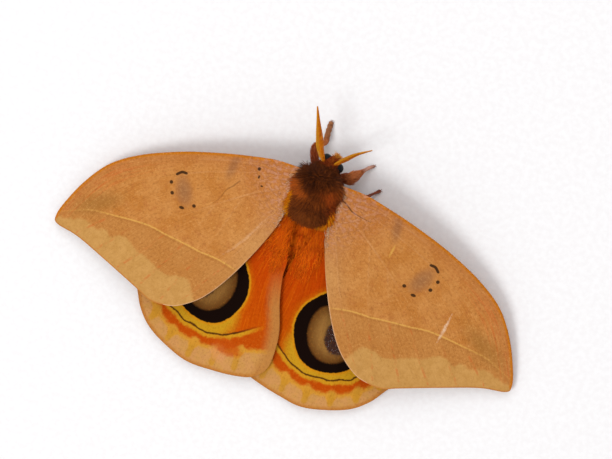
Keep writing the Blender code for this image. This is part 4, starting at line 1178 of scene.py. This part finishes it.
def side_plumes(skin, chance):
    """Long golden hairs beside the thorax, over the wings' bases and round its right rear corner."""
    def weigh(places):
        x, y, z = places.T
        beside = (np.abs(x) > 2.7) & (z > 9.7 - 1.2 * (y < -4.0))
        return beside * (y < 1.2 - 1.8 * (x > 0)) * (y > -3.6 - 0.9 * (x > 0))

    roots, normals = sample(skin, SIDE_PLUMES, chance, weigh)
    back = smoothstep((-1.6 - roots[:, 1]) / 2.4) * (roots[:, 0] > 0.0)
    lies = np.column_stack([
        np.sign(roots[:, 0]) * (1.1 - 0.95 * back), -np.ones(len(roots)), np.zeros(len(roots)),
    ])
    lies += chance.normal(0.0, 0.15, lies.shape)
    lengths = np.minimum(chance.uniform(2.8, 4.4, len(roots)), roots[:, 1] - COAT_BACK)
    lifts = chance.uniform(0.2, 0.4, len(roots))
    widths = chance.uniform(0.1, 0.16, len(roots))
    mesh = hairs("side_plumes", roots, normals, lies, lengths, widths, lifts, chance, round_body(roots))
    settle("side_plumes", mesh, plume_finish("golden_plumes", (232, 152, 4), (208, 98, 2)))


def body_coats(skin):
    """The coat of the body: shaggy on the thorax, short on the head, sleek on the abdomen."""
    chance = np.random.default_rng(BODY_SEED)
    finish = fur_finish("body_fur", body_colour)
    thorax_coats(skin, finish, chance)
    abdomen_coat(skin, finish, chance)
    head_coat(skin, finish, chance)
    side_plumes(skin, chance)


def plume_finish(name, bright, deep):
    """Hairs between two colours, hair by hair."""
    def colour_of(finish, place, tint):
        return finish.blend(deep, bright, tint.step(0.2, 0.8))
    return fur_finish(name, colour_of, root_shade=0.15)


# Hairs that grow on the wings' bases: their course in plan and how far they stray from it, their lie in
# plan, their least and greatest length, and their lighter and darker colour.
WING_HAIRS = {
    "forewing": {
        "course": [(5.3, 3.2), (5.5, 1.0), (5.1, -1.6), (4.6, -4.4), (4.9, -7.0), (5.4, -9.0)],
        "stray": 0.25, "count": 260, "lie": (0.8, -0.9), "lengths": (0.6, 1.3),
        "colours": ((234, 206, 170), (186, 140, 102)),
    },
    "hindwing": {
        "course": [(4.2, -3.4), (4.0, -6.0), (3.4, -9.0), (2.6, -12.0), (2.0, -16.0)],
        "stray": 1.1, "count": 1900, "lie": (0.12, -1.0), "lengths": (2.0, 3.8),
        "colours": ((244, 120, 2), (212, 82, 0)),
    },
}


def wing_hairs(wings_made):
    """Pale hairs along the base of each forewing, and orange ones along the base of each hindwing."""
    finishes = {}
    for kind, way in WING_HAIRS.items():
        finishes[kind] = plume_finish(kind + "_base_hairs", *way["colours"])
    for order, wing in enumerate(wings_made):
        chance = np.random.default_rng(WING_SEED + order)
        way = WING_HAIRS[wing.kind]
        count = way["count"]
        along = chance.random(count) ** 1.3
        plan = at_shares(smooth_line(way["course"]), along) + chance.normal(0.0, way["stray"], (count, 2))
        upper_face = 0.5 * WING_THICKNESS
        roots = wing.put(plan, upper_face)
        slope = wing.put(plan + [0.0, 0.1], upper_face) - roots
        across = wing.put(plan + [0.1, 0.0], upper_face) - roots
        normals = unit(np.cross(across, slope) * wing.side)
        lies = wing.turn(np.column_stack([np.tile(way["lie"], (count, 1)), np.zeros(count)]))
        lies += chance.normal(0.0, 0.2, lies.shape)
        lengths = chance.uniform(*way["lengths"], count)
        lengths *= 1.0 - 0.5 * along
        lifts = chance.uniform(0.03, 0.12, count)
        widths = chance.uniform(0.06, 0.1, count)
        chart = np.column_stack([chance.random(count), np.clip(-plan[:, 1] / 30.0 + 0.2, 0.0, 1.0)])
        name = wing.name + "_base_hairs"
        mesh = hairs(name, roots, normals, lies, lengths, widths, lifts, chance, chart)
        settle(name, mesh, finishes[wing.kind])


def skin_finish():
    finish = Finish("body_skin", 0.7)
    place = finish.place()
    tint = finish.noise(place, 3.0, 2.0)
    # Painted shade: the skin under the coat takes some of the dark colour of the hairs' roots.
    finish.set("Base Color", finish.blend(body_colour(finish, place, tint), ROOT_SHADE_COLOUR, 0.35))
    finish.bump(finish.noise(place, 6.0, 3.0), 0.2, 0.6)
    return finish


def eye_centres():
    turn = Matrix.Rotation(HEAD_TURN, 3, "Z")
    centre = Vector(EYES_MIDDLE)
    return [centre + turn @ Vector((side * EYE_OUT, 0.0, EYE_HEIGHT)) for side in (-1.0, 1.0)]


def eyes():
    """Two round, faceted eyes, blue-black with a faint gloss."""
    finish = Finish("compound_eye", 0.35, shine=0.12, coat=0.12)
    place = finish.place()
    facets = finish.cells(place, 9.0)
    colour = finish.blend((5, 6, 9), (18, 21, 29), facets.step(0.45, 0.1))
    finish.set("Base Color", colour)
    finish.bump(1.0 - facets, 0.06, 0.5)
    for side, centre in zip(("left", "right"), eye_centres()):
        bm = bmesh.new()
        bmesh.ops.create_icosphere(bm, subdivisions=5, radius=EYE_RADIUS - 0.05)
        bmesh.ops.translate(bm, verts=bm.verts, vec=centre)
        name = "eye_" + side
        settle(name + "_globe", mesh_of(bm, name), finish, [name])


def add_limb(bm, course, radii, sides):
    """Adds a limb, claw or ray to a mesh: a ring carried along a course and closed at both ends."""
    limb = bmesh.new()
    course = [Vector(point) for point in course]
    side = (course[1] - course[0]).orthogonal().normalized()
    ring = bmesh.ops.create_circle(limb, cap_ends=True, segments=sides, radius=1.0)["verts"]
    face = ring[0].link_faces[0]
    for index, point in enumerate(course):
        ahead = (course[min(index + 1, len(course) - 1)] - course[max(index - 1, 0)]).normalized()
        side = (side - ahead * side.dot(ahead)).normalized()
        over = ahead.cross(side)
        if index:
            face = bmesh.ops.extrude_discrete_faces(limb, faces=[face])["faces"][0]
            ring = list(face.verts)
        for step, vertex in enumerate(ring):
            angle = math.tau * step / sides
            way = side * math.cos(angle) + over * math.sin(angle)
            vertex.co = point + way * radii[index]
    bmesh.ops.remove_doubles(limb, verts=limb.verts, dist=1e-5)
    part = mesh_of(limb, "part")
    bm.from_mesh(part)
    bpy.data.meshes.remove(part)


def antenna_finish():
    finish = Finish("antenna_scales", 0.5, shine=0.1)
    place = finish.place()
    mottle = finish.noise(place, 2.2, 3.0)
    colour = finish.blend((200, 116, 4), (170, 86, 0), mottle.step(0.35, 0.65))
    # The rays on each feather's left side are lighter.
    colour = finish.blend(colour, (216, 150, 30), finish.attribute("left_side_rays").step(0.2, 0.8) * 0.8)
    finish.set("Base Color", colour)
    finish.bump(finish.noise(place, 12.0, 2.0), 0.05, 0.5)
    return finish


def antennae():
    """Two feathered feelers: a tapered shaft and close-set rays on both sides, shorter to the tip."""
    finish = antenna_finish()
    for name, points in ANTENNA_SHAFTS.items():
        shares = np.linspace(0.0, 1.0, 40)
        line = smooth_line(points, 16)
        course = at_shares(line, shares)
        radii = np.interp(shares, *ANTENNA_RADII)
        bm = bmesh.new()
        left_side_rays = bm.verts.layers.float.new("left_side_rays")
        add_limb(bm, course, radii, 10)
        roll = ANTENNA_ROLLS[name]
        for pair in range(RAY_PAIRS):
            share = RAY_SHARES[0] + (RAY_SHARES[-1] - RAY_SHARES[0]) * pair / (RAY_PAIRS - 1.0)
            root, near = (Vector(point) for point in at_shares(line, np.array([share, share + 0.01])))
            ahead = (near - root).normalized()
            level = ahead.cross(Vector((0.0, 0.0, 1.0))).normalized()
            level.rotate(Matrix.Rotation(roll, 3, ahead))
            upper = level.cross(ahead)
            length = RAY_LENGTH * float(np.interp(share, RAY_SHARES, RAY_PROFILE))
            for side in (-1.0, 1.0):
                start = (level * side + ahead * RAY_LEAN).normalized()
                curl = upper * RAY_CURLS[pair % 2] * length
                ray = [
                    root,
                    root + start * length * 0.35 + curl * 0.3,
                    root + start * length * 0.7 + curl,
                    root + (start + ahead * 0.22).normalized() * length + curl * 1.1,
                ]
                first = len(bm.verts)
                add_limb(bm, ray, [RAY_RADIUS * share for share in RAY_TAPER], 4)
                bm.verts.ensure_lookup_table()
                for vertex in bm.verts[first:]:
                    vertex[left_side_rays] = float(side < 0.0)
        settle(name + "_feather", mesh_of(bm, name), finish, [name])


def leg_finish():
    finish = Finish("leg_scales", 0.6, shine=0.12)
    place = finish.place()
    finish.set("Base Color", leg_colour(finish, place, finish.noise(place, 1.3, 3.0)))
    finish.bump(finish.noise(place, 9.0, 2.0), 0.08, 0.6)
    return finish


def leg_colour(finish, place, tint):
    """Red-brown thighs, brown shins, paler feet and dark toes."""
    x, y, z = finish.parts(place)
    mottle = finish.noise(place, 0.6, 2.0)
    colour = finish.blend((214, 126, 68), (180, 98, 52), mottle.step(0.35, 0.65))
    colour = finish.blend(colour, (150, 56, 18), z.step(3.4, 4.1) * x.step(4.4, 3.4) * 0.85)
    low = z.step(2.9, 1.7) * z.step(0.3, 0.6)
    colour = finish.blend(colour, (214, 168, 150), low * x.step(4.0, 6.0) * 0.85)
    colour = finish.blend(colour, (152, 108, 74), low * x.step(1.0, -1.0) * 0.7)
    slim = x.step(6.0, 7.0) * y.step(6.2, 5.4)
    colour = finish.blend(colour, (128, 54, 28), slim * 0.9)
    colour = finish.blend(colour, (104, 58, 38), z.step(0.7, 0.35) * 0.7)
    colour = finish.blend(colour, (40, 18, 8), tint.step(0.4, 0.0) * 0.4)
    return finish.blend(colour, (222, 150, 104), tint.step(0.6, 1.0) * 0.35)


def legs():
    """Six legs: limbs with jointed feet and claws, and their coats of scales and hairs."""
    bare = leg_finish()
    furred = fur_finish("leg_fur", leg_colour)
    for order, (name, joints) in enumerate(LEG_JOINTS.items()):
        chance = np.random.default_rng(LEG_SEED + order)
        kind = name if name in LEG_FUR else "other"
        line = smooth_line(np.column_stack([joints, LEG_RADII[kind], LEG_FUR[kind]]), 12)
        course, radii, fur = line[:, :3], line[:, 3].copy(), line[:, 4]
        # The foot, past the fifth joint, is beaded.
        passed = np.linspace(0.0, 6.0, len(line))
        radii *= 1.0 + FOOT_SWELL * np.where(passed > 4.0, np.cos(passed * math.tau * FOOT_BEADS), 0.0)
        bm = bmesh.new()
        add_limb(bm, course, radii, 12)
        toe = Vector(course[-1])
        ahead = Vector((course[-1] - course[-5]) * [1.0, 1.0, 0.0]).normalized()
        across = ahead.cross(Vector((0.0, 0.0, 1.0)))
        for side in (-1.0, 1.0):
            claw = [
                toe,
                toe + ahead * 0.3 + across * side * 0.14 + Vector((0.0, 0.0, 0.08)),
                toe + ahead * 0.52 + across * side * 0.22 + Vector((0.0, 0.0, -0.1)),
            ]
            add_limb(bm, claw, CLAW_RADII, 6)
        mesh = mesh_of(bm, name)
        above_floor(mesh)
        settle(name + "_limb", mesh, bare, [name])

        count = LEG_TUFTS
        spots = chance.uniform(0.0, 1.0, count) ** 0.9 * (len(line) - 2)
        low = spots.astype(int)
        part = (spots - low)[:, None]
        middles = course[low] * (1 - part) + course[low + 1] * part
        ways = unit(course[low + 1] - course[low])
        around = unit(np.cross(ways, chance.normal(0.0, 1.0, (count, 3))))
        roots = middles + around * radii[low][:, None]
        lengths = fur[low] * chance.uniform(0.6, 1.1, count)
        lifts = chance.uniform(0.14, 0.42, count) * np.interp(fur[low], [0.3, 1.2], [0.4, 1.0])
        widths = chance.uniform(0.08, 0.15, count)
        lies = ways + chance.normal(0.0, 0.1, (count, 3))
        angle = np.arctan2(around[:, 2], around[:, 0] + 1e-9) / math.tau + 0.5
        chart = np.column_stack([angle, spots / len(line)])
        mesh = hairs(name + "_coat", roots, around, lies, lengths, widths, lifts, chance, chart)
        above_floor(mesh)
        settle(name + "_coat", mesh, furred)


def above_floor(mesh):
    """Presses flat what would reach below the floor."""
    places = coordinates(mesh)
    places[:, 2] = np.maximum(places[:, 2], LOWEST)
    mesh.vertices.foreach_set("co", places.astype(np.float32).ravel())


def floor():
    finish = Finish("pale_floor", 0.9)
    place = finish.add("ShaderNodeTexCoord", {}, {}, "Object")
    grain = finish.noise(place, 900.0, 2.0)
    finish.set("Base Color", finish.blend((245, 245, 246), (241, 240, 241), grain.step(0.3, 0.7)))
    bm = bmesh.new()
    bmesh.ops.create_grid(bm, x_segments=1, y_segments=1, size=FLOOR_HALF_SIZE)
    mesh = mesh_of(bm, "floor")
    mesh.materials.append(finish.material)
    linked("floor", mesh)


def light(name, place, size, power, colour):
    """A square soft light that faces the moth."""
    lamp = bpy.data.lights.new(name, "AREA")
    lamp.size = size
    lamp.energy = power
    lamp.color = colour
    holder = linked(name, lamp)
    holder.location = place
    holder.rotation_mode = "QUATERNION"
    holder.rotation_quaternion = (-Vector(place)).to_track_quat("-Z", "Y")


def camera_axes():
    """The camera's back, right and up, from its tilts and its roll."""
    back = Vector((math.tan(CAMERA_TILTS[0]), math.tan(CAMERA_TILTS[1]), 1.0)).normalized()
    level = Vector((math.cos(CAMERA_ROLL), math.sin(CAMERA_ROLL), 0.0))
    right = (level - back * level.dot(back)).normalized()
    return back, right, back.cross(right)


def camera_and_lights():
    back, right, up = camera_axes()
    view = bpy.data.cameras.new("photo_view")
    view.sensor_width = SENSOR
    view.lens = SENSOR * PIXELS_PER_MM * CAMERA_DISTANCE / PHOTO_SIZE[0]
    view.clip_start = 0.01
    view.clip_end = 20.0
    centre = Vector((0.0, 0.0, AXIS_HEIGHT)) + STANCE
    centre += right * (0.5 * PHOTO_SIZE[0] - AXIS_PIXEL[0]) / PIXELS_PER_MM
    centre -= up * (0.5 * PHOTO_SIZE[1] - AXIS_PIXEL[1]) / PIXELS_PER_MM
    camera = linked("photo_view", view)
    camera.location = (centre + back * CAMERA_DISTANCE) * METRES_PER_MM
    camera.rotation_mode = "QUATERNION"
    camera.rotation_quaternion = Matrix((right, up, back)).transposed().to_quaternion()
    bpy.context.scene.camera = camera
    for name, (towards_camera, to_right, to_top), size, power, colour in LIGHTS:
        place = back * towards_camera + right * to_right + up * to_top
        light(name, place, size, power, colour)
    world = bpy.data.worlds.new("studio")
    world.use_nodes = True
    background = world.node_tree.nodes["Background"]
    background.inputs["Color"].default_value = WORLD_COLOUR
    background.inputs["Strength"].default_value = WORLD_STRENGTH
    bpy.context.scene.world = world
    bpy.context.scene.view_settings.view_transform = "Standard"


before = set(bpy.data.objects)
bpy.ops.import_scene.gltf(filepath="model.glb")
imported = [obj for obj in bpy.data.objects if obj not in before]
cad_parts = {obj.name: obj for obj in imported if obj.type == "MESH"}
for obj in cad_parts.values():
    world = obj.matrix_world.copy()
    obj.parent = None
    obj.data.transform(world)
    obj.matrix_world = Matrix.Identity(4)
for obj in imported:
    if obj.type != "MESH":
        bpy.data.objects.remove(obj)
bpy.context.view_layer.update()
camera_and_lights()
floor()
wings_made = wings()
wing_hairs(wings_made)
skin = body_skin()
body_coats(skin)
settle("body_skin", skin, skin_finish(), ["head", "thorax", "abdomen"])
eyes()
antennae()
legs()
